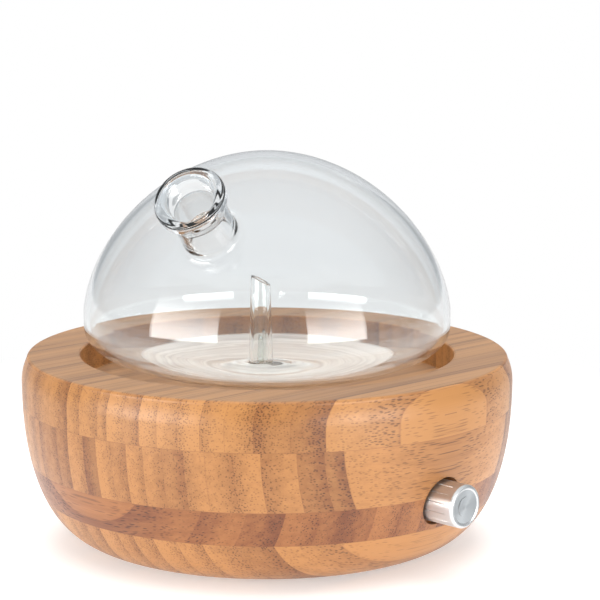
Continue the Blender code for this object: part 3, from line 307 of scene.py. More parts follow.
class Shader:
    """A node tree written as a formula: most methods take sockets or numbers and give a socket."""

    def __init__(self, name, sky=False):
        self.material = bpy.data.worlds.new(name) if sky else bpy.data.materials.new(name)
        self.material.use_nodes = True
        self.tree = self.material.node_tree
        self.tree.nodes.clear()
        kind = "ShaderNodeOutputWorld" if sky else "ShaderNodeOutputMaterial"
        self.output = self.tree.nodes.new(kind)

    def put(self, socket, value):
        if isinstance(value, bpy.types.NodeSocket):
            self.tree.links.new(value, socket)
        elif isinstance(value, tuple) and len(value) == 3 and socket.type == "RGBA":
            socket.default_value = (*value, 1)
        else:
            socket.default_value = value

    def node(self, kind, inputs=None, **settings):
        node = self.tree.nodes.new(kind)
        for key, value in settings.items():
            setattr(node, key, value)
        for key, value in (inputs or {}).items():
            self.put(node.inputs[key], value)
        return node

    def math(self, operation, *values):
        node = self.node("ShaderNodeMath", operation=operation)
        for socket, value in zip(node.inputs, values):
            self.put(socket, value)
        return node.outputs[0]

    def add(self, first, *others):
        total = first
        for value in others:
            total = self.math("ADD", total, value)
        return total

    def minus(self, a, b):
        return self.math("SUBTRACT", a, b)

    def times(self, a, b):
        return self.math("MULTIPLY", a, b)

    def over(self, a, b):
        return self.math("DIVIDE", a, b)

    def swing(self, value, amount):
        """How far a value from 0 to 1 is from its middle, times amount."""
        return self.times(self.minus(value, 0.5), amount)

    def hypotenuse(self, a, b):
        return self.math("SQRT", self.add(self.times(a, a), self.times(b, b)))

    def clamp(self, value):
        return self.node("ShaderNodeClamp", {0: value}).outputs[0]

    def step(self, value, low, high, give=(0.0, 1.0)):
        """A smooth step from give[0] at low to give[1] at high."""
        inputs = {0: value, 1: low, 2: high, 3: give[0], 4: give[1]}
        return self.node("ShaderNodeMapRange", inputs, interpolation_type="SMOOTHSTEP").outputs[0]

    def position(self):
        return self.node("ShaderNodeTexCoord").outputs["Object"]

    def split(self, vector):
        return self.node("ShaderNodeSeparateXYZ", {0: vector}).outputs[:3]

    def join(self, x, y, z):
        return self.node("ShaderNodeCombineXYZ", {0: x, 1: y, 2: z}).outputs[0]

    def noise(self, vector, scale, detail=2.0, rough=0.5):
        inputs = {"Vector": vector, "Scale": scale, "Detail": detail, "Roughness": rough}
        return self.node("ShaderNodeTexNoise", inputs).outputs[0]

    def stretched_noise(self, values, scales, detail=2.0, rough=0.5):
        """Noise of three numbers, each with its own scale."""
        scaled = [self.times(value, scale) for value, scale in zip(values, scales)]
        return self.noise(self.join(*scaled), 1.0, detail, rough)

    def random(self, *values):
        """A random number, 0 to 1, that keeps one value for the same inputs."""
        vector = self.join(*(list(values) + [0.0, 0.0])[:3])
        return self.node("ShaderNodeTexWhiteNoise", {"Vector": vector}).outputs["Value"]

    def ramp(self, value, stops, interpolation="LINEAR"):
        node = self.node("ShaderNodeValToRGB", {0: value})
        ramp = node.color_ramp
        ramp.interpolation = interpolation
        while len(ramp.elements) < len(stops):
            ramp.elements.new(0.5)
        for element, (place, colour) in zip(ramp.elements, stops):
            element.position = place
            element.color = (*colour, 1)
        return node.outputs[0]

    def mix(self, factor, a, b, blend="MIX"):
        node = self.node("ShaderNodeMix", data_type="RGBA", blend_type=blend)
        self.put(node.inputs[0], factor)
        self.put(node.inputs[6], a)
        self.put(node.inputs[7], b)
        return node.outputs[2]

    def emission(self, colour, strength):
        return self.node("ShaderNodeEmission", {"Color": colour, "Strength": strength}).outputs[0]

    def mix_shaders(self, factor, a, b):
        return self.node("ShaderNodeMixShader", {0: factor, 1: a, 2: b}).outputs[0]

    def surface(self):
        """The shader that the material ends in so far."""
        return self.output.inputs["Surface"].links[0].from_socket

    def end(self, shader):
        """Ends the material in that shader."""
        self.tree.links.new(shader, self.output.inputs["Surface"])
        return self.material

    def front_only(self):
        """Makes the finished material see-through from behind."""
        behind = self.node("ShaderNodeNewGeometry").outputs["Backfacing"]
        clear = self.node("ShaderNodeBsdfTransparent").outputs[0]
        return self.end(self.mix_shaders(behind, self.surface(), clear))

    def bump(self, height, distance, strength=1.0):
        inputs = {"Height": height, "Distance": distance, "Strength": strength}
        return self.node("ShaderNodeBump", inputs).outputs[0]

    def finish(self, colour, roughness, **more):
        """Ends the material in a Principled BSDF."""
        shader = self.node("ShaderNodeBsdfPrincipled", {"Base Color": colour, "Roughness": roughness})
        for key, value in more.items():
            self.put(shader.inputs[key.replace("_", " ")], value)
        return self.end(shader.outputs[0])


def srgb(red, green, blue):
    """A linear colour from 0 to 255 screen values."""

    def linear(value):
        share = value / 255
        return share / 12.92 if share <= 0.04045 else ((share + 0.055) / 1.055) ** 2.4

    return (linear(red), linear(green), linear(blue))


# ---------------- bamboo

STRIP_SPAN = 2 * 88 * MM  # width of a board
RAMP_STRIPS = 32  # strips that one board can have
STRIP_WANDER = 0.9 * MM  # how far the edges of the strips waver
BOARD_SHIFT = 0.37  # along the grain, from one board's pattern to the next
FIBRE_PITCH = 0.62 * MM
FIBRE_SWAY = 1.3 * MM
GLUE_SHARE = 0.026  # of a strip's width
GLUE_THICK = 0.2 * MM  # between boards
PALE = srgb(182, 126, 70)
DEEP = srgb(116, 66, 30)
FIBRE = srgb(78, 40, 18)
GLUE = srgb(120, 68, 40)
# painted sheen: the grey that faces looking up are mixed towards
TOP_SHEEN_GREY = srgb(142, 124, 106)
REDDER = (0.92, 0.74, 0.62)

# The boards, lowest first. Strips are in mm from the board's front (or left) edge: width and
# how dark, 0 to 1. The rest of the board goes on at its usual pitch.
BOARDS = (
    {
        "pitch": 7.2, "tone": 0.22, "spread": 0.18, "red": 0.05,
        "strips": ((18, 0.15), (12, 0.2), (9, 0.62), (9, 0.3)),
    },
    {"pitch": 8.6, "tone": 0.72, "spread": 0.25, "red": 0.7, "strips": ()},
    {
        "pitch": 6.6, "tone": 0.24, "spread": 0.18, "red": 0.1,
        "strips": (
            (13, 0.25), (3, 0.75), (5, 0.8), (7.5, 0.3), (6.5, 0.2), (7.5, 0.3), (6, 0.2), (6.5, 0.62),
            (6.5, 0.25), (6, 0.2), (6, 0.45), (6.5, 0.15), (6, 0.78), (8, 0.2), (6.5, 0.65), (6, 0.6),
        ),
    },
    {
        "pitch": 6.6, "tone": 0.22, "spread": 0.16, "red": 0.0,
        "strips": (
            (5.5, 0.1), (10, 0.2), (6.5, 0.75), (8, 0.55), (7, 0.2), (6.5, 0.25), (6.5, 0.15),
            (6.5, 0.2), (6, 0.12), (6, 0.48), (6.5, 0.15), (4, 0.3), (8.5, 0.2), (6.5, 0.25),
            (4, 0.75), (7, 0.2), (10.5, 0.3),
        ),
    },
)


def board_strips(board, seed):
    """(edge, tone, random) of each strip, edges from 0 to 1 across the board."""
    picks = random.Random(seed)
    listed = list(board["strips"])
    strips = []
    edge = 0.0
    while edge < STRIP_SPAN and len(strips) < RAMP_STRIPS - 1:
        jitter = picks.uniform(-1, 1)
        if listed:
            width, tone = listed.pop(0)
        else:
            width = board["pitch"] * (1 + 0.12 * jitter)
            tone = board["tone"] + board["spread"] * picks.uniform(-1, 1.4)
        strips.append((edge / STRIP_SPAN, max(tone, 0.02), picks.random()))
        edge += width * MM
    return strips


def strip_pattern(s, across, picked):
    """Where in its strip a point is, as strip number plus share of the width, and its tone.
    Each board has a ramp for the edges of its strips and another for their tones."""
    share = s.add(s.over(across, STRIP_SPAN), 0.5)
    place = 0.0
    tone = 0.0
    for i, board in enumerate(BOARDS):
        strips = board_strips(board, 40 + i)
        edges = [(edge, (k / RAMP_STRIPS,) * 3) for k, (edge, _, _) in enumerate(strips)]
        edges.append((1.0, (len(strips) / RAMP_STRIPS,) * 3))
        tones = [
            ((k + 0.02) / RAMP_STRIPS, (dark, chance, 0.0))
            for k, (_, dark, chance) in enumerate(strips)
        ]
        here = s.split(s.ramp(share, edges))[0]
        place = s.add(place, s.times(here, picked[i]))
        middle = s.over(s.add(s.math("FLOOR", s.times(here, RAMP_STRIPS)), 0.5), RAMP_STRIPS)
        tone = s.add(tone, s.times(s.split(s.ramp(middle, tones, "CONSTANT"))[0], picked[i]))
    return s.times(place, RAMP_STRIPS), tone


def fibre_bundles(s, run, number, dense):
    """Long rods along the grain, seen as dots or as streaks, closer together where it is dense."""
    along, across, z = run
    sway = s.stretched_noise(run, (22.0, 90.0, 90.0))
    bend = s.swing(sway, FIBRE_SWAY)
    rod_a = s.over(s.add(across, s.times(number, 13.0 * MM), bend), FIBRE_PITCH)
    rod_b = s.over(s.add(z, s.times(bend, 0.7)), FIBRE_PITCH)
    section = s.join(rod_a, rod_b, s.times(along, 6.0))
    cells = s.node("ShaderNodeTexVoronoi", {"Vector": section, "Scale": 1.0, "Randomness": 0.85})
    rod = s.step(cells.outputs["Distance"], 0.2, 0.48, (1.0, 0.0))
    rod_chance = s.random(s.split(cells.outputs["Color"])[0], number)
    kept = s.math("LESS_THAN", rod_chance, s.add(s.times(dense, 0.5), 0.45))
    return s.times(s.times(rod, kept), s.add(s.times(dense, 0.65), 0.3))


def glue_lines(s, within, z):
    """Thin darker lines between strips and between boards."""
    edge = s.math("MINIMUM", within, s.minus(1.0, within))
    glue = s.step(edge, 0.0, GLUE_SHARE, (0.26, 0.0))
    for joint in BOARD_JOINTS_Z:
        away = s.math("ABSOLUTE", s.minus(z, joint))
        glue = s.math("MAXIMUM", glue, s.step(away, 0.0, GLUE_THICK, (0.4, 0.0)))
    return glue


def bamboo():
    """Boards glued up from strips. The grain runs along X, and along Y in the second board."""
    s = Shader("bamboo")
    x, y, z = s.split(s.position())
    above = [s.math("GREATER_THAN", z, joint) for joint in BOARD_JOINTS_Z]
    picked = [s.minus(1.0, above[0])]
    picked += [s.minus(above[i], above[i + 1]) for i in range(2)]
    picked.append(above[2])
    board_number = s.add(*above)

    swapped = picked[1]
    flip = s.minus(1.0, swapped)
    across = s.add(s.times(y, flip), s.times(x, swapped))
    along = s.add(s.times(x, flip), s.times(y, swapped), s.times(board_number, BOARD_SHIFT))
    run = (along, across, z)

    slow = s.stretched_noise(run, (9.0, 30.0, 30.0), 1.0)
    wavering = s.add(across, s.swing(slow, STRIP_WANDER))
    strip, tone = strip_pattern(s, wavering, picked)
    number = s.math("FLOOR", strip)
    within = s.math("FRACT", strip)

    # Distance from the strip's dense side, where the culm's skin was
    turned_over = s.math("GREATER_THAN", s.random(number, board_number, 3.0), 0.7)
    depth = s.math("ABSOLUTE", s.minus(within, turned_over))
    dense = s.step(depth, 0.0, 0.75, (1.0, 0.25))
    fibre = fibre_bundles(s, run, number, dense)

    # Fine fibres, slow streaks along the grain and each strip's own shade
    fine = s.stretched_noise(run, (30.0, 2600.0, 2600.0), 3.0)
    streak = s.stretched_noise(run, (7.0, 420.0, 420.0), 3.0, 0.6)
    cloud = s.stretched_noise(run, (10.0, 60.0, 45.0))
    shade = s.random(number, board_number, 7.0)
    deepness = s.add(
        s.times(tone, 0.85),
        s.swing(shade, 0.12),
        s.swing(streak, 0.75),
        s.swing(fine, 0.35),
        s.swing(cloud, 0.35),
        s.swing(dense, 0.42),
    )
    colour = s.mix(s.clamp(deepness), PALE, DEEP)
    marked = s.times(fibre, s.add(0.72, s.times(tone, 0.6)))
    colour = s.mix(s.clamp(marked), colour, FIBRE)
    glue = glue_lines(s, within, z)
    colour = s.mix(glue, colour, GLUE)
    reddish = s.add(0.0, *[s.times(picked[i], board["red"]) for i, board in enumerate(BOARDS)])
    colour = s.mix(reddish, colour, s.mix(1.0, colour, REDDER, "MULTIPLY"))

    # Faces that look up are mixed towards a painted grey sheen, standing in for the white room
    # reflected at a grazing angle, and are more matt than the turned side
    up = s.split(s.node("ShaderNodeNewGeometry").outputs["Normal"])[2]
    flat = s.step(up, 0.75, 0.98)
    colour = s.mix(s.times(flat, 0.45), colour, TOP_SHEEN_GREY)

    relief = s.add(s.times(fibre, -0.6), s.times(fine, 0.5), s.times(glue, -0.8))
    roughness = s.add(0.42, s.swing(streak, 0.2), s.times(fibre, 0.1), s.times(flat, 0.15))
    return s.finish(
        colour,
        roughness,
        Normal=s.bump(relief, 0.05 * MM, 0.7),
        Specular_IOR_Level=s.add(0.5, s.times(flat, -0.2)),
        Coat_Weight=s.times(s.minus(1.0, flat), 0.3),
        Coat_Roughness=0.38,
    )


def base_side():
    """The side of the base from its flat underside up to the rim's inner edge."""
    across, up = BASE_CURVE
    steps, upper_steps, rim_steps = 44, 6, 10
    side = []
    for i in range(steps + 1):
        angle = pi / 2 * (1 - i / steps)
        radius = BASE_FLAT_R + (BASE_R - BASE_FLAT_R) * max(cos(angle), 0) ** (2 / across)
        side.append((radius, BASE_WIDEST_Z * (1 - sin(angle) ** (2 / up))))
    above = BASE_TOP_Z - BASE_WIDEST_Z
    round_low = BASE_TOP_Z - RIM_ROUNDING
    for i in range(1, upper_steps + 1):
        height = BASE_WIDEST_Z + (round_low - BASE_WIDEST_Z) * i / upper_steps
        side.append((BASE_R - (BASE_R - BASE_TOP_R) * ((height - BASE_WIDEST_Z) / above) ** 2, height))
    centre_r = side[-1][0] - RIM_ROUNDING
    for i in range(1, rim_steps + 1):
        angle = pi / 2 * i / rim_steps
        side.append((centre_r + RIM_ROUNDING * cos(angle), round_low + RIM_ROUNDING * sin(angle)))
    return side


def base_outline():
    """The closed outline of the base: side, rim, recess, socket hole, cavity and cover seat."""
    cavity_low, cavity_high = CAVITY_Z
    flange_room_z = RECESS_FLOOR_Z - SOCKET_FLANGE_THICK - PLAY
    inside = [
        (RECESS_R, BASE_TOP_Z, RECESS_EDGE),
        (RECESS_R, RECESS_FLOOR_Z, 0.6 * MM),
        (SOCKET_FLANGE_R + PLAY, RECESS_FLOOR_Z, 0.2 * MM),
        (SOCKET_FLANGE_R + PLAY, flange_room_z, 0),
        (SOCKET_R + PLAY, flange_room_z, 0),
        (SOCKET_R + PLAY, cavity_high, 0),
        (CAVITY_R, cavity_high, 1.0 * MM),
        (CAVITY_R, cavity_low, 1.0 * MM),
        (MOUTH_R, cavity_low, 0.4 * MM),
        (MOUTH_R, COVER_THICK + PLAY, 0),
        (COVER_R + PLAY, COVER_THICK + PLAY, 0),
        (COVER_R + PLAY, 0, 0.3 * MM),
    ]
    side = base_side()
    flat = (BASE_FLAT_R - 1.0 * MM, 0.0, 0)
    outline = rounded([side[-1] + (0,)] + inside + [flat])
    return side[:-1] + outline


def side_bore(name, room_r, web_back_y, hole_r, floor_y, well_r):
    """A cutter for a well in the side, the hole in its floor and the room behind that."""
    inner = CAVITY_R - 4 * MM
    outer = BASE_R + 3 * MM
    outline = [
        (0, inner), (room_r, inner), (room_r, web_back_y), (hole_r, web_back_y),
        (hole_r, floor_y), (well_r, floor_y), (well_r, outer), (0, outer),
    ]
    return turned(name, outline, BORE_SIDES)


def make_base():
    mesh = turned("bamboo_base", base_outline(), BASE_SIDES, closed=True)
    knob_bore = side_bore(
        "knob_bore", POT_ROOM_R, KNOB_WEB_BACK_Y, POT_HOLE_R, KNOB_WELL_FLOOR_Y, KNOB_WELL_R
    )
    jack_bore = side_bore(
        "jack_bore", JACK_NUT_ROOM_R, JACK_WEB_BACK_Y, JACK_HOLE_R, JACK_WELL_FLOOR_Y, JACK_WELL_R
    )
    front = Matrix.Translation((0, 0, KNOB_Z)) @ Matrix.Rotation(pi / 2, 4, "X")
    back = Matrix.Translation((0, 0, JACK_Z)) @ Matrix.Rotation(-pi / 2, 4, "X")
    mesh = cut_away(mesh, [(knob_bore, front), (jack_bore, back)])
    base = add_piece("bamboo_base", mesh, "base", [bamboo()])
    broad_shading(base)
    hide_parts("base_housing")


# ---------------- glass

GLASS_IOR = 1.47
GLASS_SHADE = (0.97, 0.97, 0.97)  # what each face of the glass lets through of a lamp's light
CLEAR = (0.965, 0.975, 0.97)
SMOKE = (0.81, 0.84, 0.865)
SMOKE_Z = (BASE_TOP_Z + 4 * MM, BASE_TOP_Z + 26 * MM)  # the dome goes from clear to smoky here
DRAWN = (0.985, 0.99, 0.99)
# painted glow: the colour the glass glows in after many bounces
EDGE_GLOW_GREEN = (0.62, 0.65, 0.57)
# painted reflection: the pale haze colour on the vessel's floor
FLOOR_SHEEN_HAZE = (0.80, 0.785, 0.75)
GLOW_BOUNCES = (11.0, 15.0)  # bounces after which a path ends in the painted glow of a glass edge


def painted_floor_sheen(s):
    """How far a painted streaky haze, a painted reflection of the bright room, covers the vessel's
    floor, up to a level line.
    """
    x, y, z = s.split(s.position())
    swirl = s.stretched_noise((x, y, z), (26.0, 26.0, 90.0))
    rings = s.add(s.times(s.hypotenuse(x, y), 420.0), s.times(swirl, 5.0))
    ringed = s.noise(s.join(rings, 0.0, 0.0), 1.0)
    streaks = s.step(s.add(s.times(ringed, 0.6), s.times(swirl, 0.4)), 0.36, 0.6, (0.34, 0.58))
    return s.times(streaks, s.step(z, SHEEN_TOP_Z - 0.7 * MM, SHEEN_TOP_Z, (1.0, 0.0)))


def glass(name, tint=CLEAR, floor_sheen=False, smoky=False):
    """Clear blown glass. Lamp light passes straight through it, and a path that has bounced long
    inside it ends in a painted glow, the pale green-grey of a glass edge, for light run along the
    wall."""
    s = Shader(name)
    if smoky:
        height = s.split(s.position())[2]
        tint = s.mix(s.step(height, *SMOKE_Z), CLEAR, SMOKE)
    s.finish(tint, 0.0, IOR=GLASS_IOR, Transmission_Weight=1.0)
    body = s.surface()
    # the floor gets a painted reflection of the bright room as a streaky pale haze
    if floor_sheen:
        sheen_haze = s.node("ShaderNodeBsdfDiffuse", {"Color": FLOOR_SHEEN_HAZE}).outputs[0]
        body = s.mix_shaders(painted_floor_sheen(s), body, sheen_haze)
    rays = s.node("ShaderNodeLightPath").outputs
    straight = s.math("MAXIMUM", rays["Is Shadow Ray"], rays["Is Diffuse Ray"])
    clear = s.node("ShaderNodeBsdfTransparent", {"Color": GLASS_SHADE}).outputs[0]
    # painted glow in place of the dark end of long paths inside the glass
    glow_share = s.step(rays["Ray Depth"], *GLOW_BOUNCES)
    pale = s.emission(EDGE_GLOW_GREEN, 1.0)
    return s.end(s.mix_shaders(glow_share, s.mix_shaders(straight, body, clear), pale))


def dome(wall, steps=56):
    """The upper half's outline from the top down to the widest ring, moved in by wall."""
    across, up = GLASS_UPPER_CURVE
    radius = GLASS_R - wall
    rise = GLASS_TOP_Z - GLASS_WIDEST_Z - wall
    angles = [pi / 2 * i / steps for i in range(steps + 1)]
    return [
        (radius * sin(a) ** (2 / across), GLASS_WIDEST_Z + rise * max(cos(a), 0) ** (2 / up))
        for a in angles
    ]


def bowl(wall, steps=36):
    """The lower half's outline from below the widest ring to just above the foot ring."""
    across, down = GLASS_LOWER_CURVE
    reach = GLASS_R - wall - GLASS_FOOT_R
    drop = GLASS_WIDEST_Z - GLASS_FOOT_Z - wall
    depths = [0.985 * sin(pi / 2 * i / steps) for i in range(1, steps + 1)]
    return [
        (GLASS_FOOT_R + reach * (1 - d**down) ** (1 / across), GLASS_WIDEST_Z - drop * d)
        for d in depths
    ]


def kick(foot_z, floor_z, steps=12):
    """The kicked-up floor's outline from the foot ring in to the flat middle."""
    outer = GLASS_FOOT_R - 1.6 * MM
    inner = 0.5 * GLASS_FOOT_R
    points = [(GLASS_FOOT_R - 0.25 * MM, foot_z + 0.12 * MM), (GLASS_FOOT_R - 0.8 * MM, foot_z)]
    for i in range(steps + 1):
        t = i / steps
        height = foot_z + (floor_z - foot_z) * (1 - cos(pi * t)) / 2
        points.append((outer + (inner - outer) * t, height))
    return points


def reservoir_outline():
    """The glass from the top of the dome round its outside, up the stem's bore and back inside.
    Also gives the range of points that make up the chimney."""
    shoulder = GLASS_FLOOR_Z - PLAY
    under = GLASS_FLOOR_Z - GLASS_FLOOR_THICK
    tip = STEM_HIGH.z
    outside = dome(0) + bowl(0) + kick(GLASS_FOOT_Z, under)
    bore_foot_r = CHIMNEY_FOOT_R - CHIMNEY_WALL[0]
    stem = [
        (STEM_R + 2.0 * MM, under, 0),
        (STEM_R, under, 0.8 * MM),
        (STEM_R, STEM_LOW.z + 3 * MM, 1.0 * MM),
        (STEM_R - 0.4 * MM, STEM_LOW.z, 0.5 * MM),
        (STEM_BORE_R, STEM_LOW.z, 0.5 * MM),
        (STEM_BORE_R, shoulder - 4.5 * MM, 1.0 * MM),
        (JET_BORE_R, shoulder - 2.5 * MM, 0.8 * MM),
        (JET_BORE_R, tip - 2 * MM, 0.4 * MM),
        (JET_HOLE_R, tip - 0.4 * MM, 0.2 * MM),
        (JET_HOLE_R, tip, 0.15 * MM),
        (JET_TIP_R, tip, 0.25 * MM),
        (JET_FOOT_R, GLASS_FLOOR_Z, 0.6 * MM),
        (bore_foot_r - 0.6 * MM, GLASS_FLOOR_Z, 0),
    ]
    chimney = [
        (bore_foot_r - 0.5 * MM, GLASS_FLOOR_Z, 0),
        (bore_foot_r, GLASS_FLOOR_Z, 0.4 * MM),
        (CHIMNEY_TOP_R - CHIMNEY_WALL[1], CHIMNEY_HIGH.z, 0.42 * MM),
        (CHIMNEY_TOP_R, CHIMNEY_HIGH.z, 0.42 * MM),
        (CHIMNEY_FOOT_R, GLASS_FLOOR_Z, 0.9 * MM),
        (CHIMNEY_FOOT_R + CHIMNEY_FLARE, GLASS_FLOOR_Z, 0),
    ]
    stem = rounded(stem)
    chimney = rounded(chimney, steps=6)
    inner_kick = kick(GLASS_FOOT_Z + GLASS_WALL, GLASS_FLOOR_Z)[::-1]
    inside = inner_kick + bowl(GLASS_WALL)[::-1] + dome(GLASS_WALL)[::-1]
    first = len(outside) + len(stem)
    return outside + stem + chimney + inside, range(first, first + len(chimney))


def dome_level(point, wall):
    """Under 0 inside the dome's surface, over 0 outside."""
    across, up = GLASS_UPPER_CURVE
    radius = GLASS_R - wall
    rise = GLASS_TOP_Z - GLASS_WIDEST_Z - wall
    height = max(point.z - GLASS_WIDEST_Z, 0)
    return (sqrt(point.x**2 + point.y**2) / radius) ** across + (height / rise) ** up - 1


def dome_normal(point, wall):
    nudge = 1e-5
    here = dome_level(point, wall)
    ways = [Vector(way) * nudge for way in ((1, 0, 0), (0, 1, 0), (0, 0, 1))]
    return Vector([dome_level(point + way, wall) - here for way in ways]).normalized()


SPOUT_AXIS = way_out(SPOUT_TURN, SPOUT_RISE)
SPOUT_FOOT = Vector((SPOUT_FOOT_R * sin(SPOUT_TURN), -SPOUT_FOOT_R * cos(SPOUT_TURN), SPOUT_FOOT_Z))
SPOUT_SIDE = SPOUT_AXIS.cross(Vector((0, 0, 1))).normalized()
SPOUT_UP = SPOUT_SIDE.cross(SPOUT_AXIS)


def spout_point(angle, radius, height):
    way = SPOUT_SIDE * cos(angle) + SPOUT_UP * sin(angle)
    return SPOUT_FOOT + way * radius + SPOUT_AXIS * height


def height_on_dome(angle, radius, wall):
    """How far along the spout's axis a line at that radius meets the dome."""
    low, high = -35 * MM, 20 * MM
    for _ in range(50):
        middle = (low + high) / 2
        if dome_level(spout_point(angle, radius, middle), wall) > 0:
            high = middle
        else:
            low = middle
    return low


def collar(angle, radius, size, wall, steps=12):
    """A smooth bend from the dome's surface up to the spout's wall at that radius."""
    spread, rise = size
    wide = radius + spread
    start_h = height_on_dome(angle, wide, wall)
    wall_h = height_on_dome(angle, radius, wall)
    start = Vector((wide, start_h))
    stop = Vector((radius, wall_h + rise))
    corner = Vector((radius, wall_h))
    return bezier(start, start.lerp(corner, 0.72), stop.lerp(corner, 0.72), stop, steps)


def spout_rings():
    """Points round the spout, ring by ring, from the dome's outside over the lip to its inside."""
    top = SPOUT_LENGTH
    lines = []
    for k in range(SPOUT_SIDES):
        angle = 2 * pi * k / SPOUT_SIDES
        outer = collar(angle, SPOUT_NECK_R, SPOUT_COLLAR, 0)
        inner = collar(angle, SPOUT_BORE_R, BORE_COLLAR, GLASS_WALL)
        lip = [
            (SPOUT_NECK_R, max(9.5 * MM, outer[-1].y + 1 * MM), 0),
            (SPOUT_NECK_R, top - 8.0 * MM, 2.5 * MM),
            (SPOUT_LIP_R - 0.9 * MM, top - 4.8 * MM, 1.2 * MM),
            (SPOUT_LIP_R, top - SPOUT_LIP_HIGH, 0.7 * MM),
            (SPOUT_LIP_R, top, 1.3 * MM),
            (SPOUT_BORE_R + 1.1 * MM, top - 0.7 * MM, 1.2 * MM),
            (SPOUT_BORE_R, top - 3.6 * MM, 1.6 * MM),
            (SPOUT_BORE_R, 11 * MM, 0),
        ]
        lip = rounded(lip, steps=8)
        throat = Vector(lip[-1])
        straight = [throat.lerp(inner[-1], i / 4) for i in range(1, 4)]
        line = outer + [Vector(point) for point in lip] + straight + inner[::-1]
        lines.append([spout_point(angle, p.x, p.y) for p in line])
    return list(zip(*lines))


def open_dome(bm, inner):
    """Takes the faces under the spout's collar out of the dome and gives the edges of the hole."""
    wall = GLASS_WALL if inner else 0
    reach = SPOUT_BORE_R + BORE_COLLAR[0] if inner else SPOUT_NECK_R + SPOUT_COLLAR[0]
    reach += 0.7 * MM
    doomed = set()
    for vert in bm.verts:
        offset = vert.co - SPOUT_FOOT
        along = offset.dot(SPOUT_AXIS)
        if abs(along) < 30 * MM and (offset - SPOUT_AXIS * along).length < reach:
            if abs(dome_level(vert.co, wall)) < NEAR_DOME:
                doomed.update(vert.link_faces)
    rim = set()
    for face in doomed:
        for edge in face.edges:
            if any(other not in doomed for other in edge.link_faces):
                rim.add(edge)
    bmesh.ops.delete(bm, geom=list(doomed), context="FACES")
    return list(rim)


def smooth_share(value, low, high):
    """0 at low, 1 at high and smooth between them."""
    t = min(max((value - low) / (high - low), 0), 1)
    return t * t * (3 - 2 * t)


def tube_shift(chimney):
    """Stands the jet and chimney off the stem's axis, and tilts the chimney's mouth."""
    aside = Vector((CHIMNEY_MIDDLE.x, CHIMNEY_MIDDLE.y, 0))
    low_side = atan2(-aside.y, -aside.x)

    def shift(angle, radius, height, i):
        if height > CHIMNEY_HIGH.z + PLAY:
            return Vector()
        if i < chimney.start and radius <= STEM_BORE_R and height < GLASS_FLOOR_Z:
            share = smooth_share(radius, STEM_BORE_R, JET_BORE_R)
        elif i < chimney.start and height < GLASS_FLOOR_Z - PLAY:
            share = 0
        else:
            share = smooth_share(radius, 16 * MM, CHIMNEY_FOOT_R + CHIMNEY_FLARE)
        moved = aside * share
        if i in chimney:
            up = (height - GLASS_FLOOR_Z) / (CHIMNEY_HIGH.z - GLASS_FLOOR_Z)
            moved.z = -up * tan(CHIMNEY_SLANT) * (CHIMNEY_TOP_R + radius * cos(angle - low_side))
        return moved

    return shift


def broad_normals(mesh):
    """Vertex normals weighted by the faces' areas, so that small bevels don't bend large faces."""
    normals = [Vector() for _ in mesh.vertices]
    for face in mesh.polygons:
        for index in face.vertices:
            normals[index] += face.normal * face.area
    return [normal.normalized() for normal in normals]


def feed_tube():
    """The thin tube that lifts oil from the floor to the jet."""
    low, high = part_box("oil_feed_tube")
    middle = Vector(((low.x + high.x) / 2, (low.y + high.y) / 2, 0))
    foot = Vector((high.x - FEED_R, middle.y, low.z + 0.4 * MM))
    bend = Vector((foot.x, foot.y, high.z - 2.4 * MM))
    tip = Vector((low.x + FEED_R, middle.y, high.z - 0.3 * MM))
    line = [foot.lerp(bend, i / 6) for i in range(6)]
    above_bend = bend + Vector((0, 0, 1.4 * MM))
    before_tip = tip + Vector((0.7 * MM, 0, -0.7 * MM))
    line += bezier(bend, above_bend, before_tip, tip, 8)
    side = Vector((0, 1, 0))
    spokes = [2 * pi * k / FEED_SIDES for k in range(FEED_SIDES)]
    bm = bmesh.new()
    walls = []
    for radius in (FEED_R, FEED_R - FEED_WALL):
        rings = []
        for i, point in enumerate(line):
            way = (line[min(i + 1, len(line) - 1)] - line[max(i - 1, 0)]).normalized()
            up = way.cross(side).normalized()
            ring = [point + (side * cos(a) + up * sin(a)) * radius for a in spokes]
            rings.append([bm.verts.new(corner) for corner in ring])
        walls.append(rings)
    outer, inner = walls
    skin(bm, zip(outer, outer[1:]))
    skin(bm, zip(inner[1:], inner))
    skin(bm, [(inner[0], outer[0]), (outer[-1], inner[-1])])
    mesh = mesh_of("feed_tube", bm, radians(50))
    tube = add_piece("feed_tube", mesh, "reservoir", [glass("drawn_glass", DRAWN)])
    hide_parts("oil_feed_tube")


def join_spout(bm):
    """Opens the dome's outer and inner skin and joins the spout to the edges of the holes."""
    holes = [open_dome(bm, False), open_dome(bm, True)]
    rings = [[bm.verts.new(point) for point in ring] for ring in spout_rings()]
    skin(bm, zip(rings, rings[1:]))
    for hole, ring in zip(holes, (rings[0], rings[-1])):
        loop = [bm.edges.get(ends) for ends in zip(ring, ring[1:] + ring[:1])]
        bmesh.ops.bridge_loops(bm, edges=hole + loop)


def smooth_dome(mesh):
    """Gives the dome's skins the normals of the exact curve."""
    normals = broad_normals(mesh)
    for vert in mesh.vertices:
        if vert.co.z < GLASS_WIDEST_Z:
            continue
        for wall, sign in ((0, 1), (GLASS_WALL, -1)):
            if abs(dome_level(vert.co, wall)) < ON_DOME:
                normals[vert.index] = dome_normal(vert.co, wall) * sign
    mesh.normals_split_custom_set_from_vertices(normals)


def glass_zone(face):
    """The material of a face: 1 is the dome's outer skin, 2 the floor under the painted reflection
    haze.
    """
    middle = face.center
    offset = middle - SPOUT_FOOT
    off_axis = (offset - SPOUT_AXIS * offset.dot(SPOUT_AXIS)).length
    if middle.z > BASE_TOP_Z:
        on_skin = dome_level(middle, 0) > -NEAR_DOME and off_axis > SPOUT_BORE_R + 1 * MM
        return 1 if on_skin else 0
    faces_up = middle.z < BASE_TOP_Z and face.normal.z > 0.05
    return 2 if faces_up and middle.xy.length > CHIMNEY_FOOT_R + 3 * MM else 0


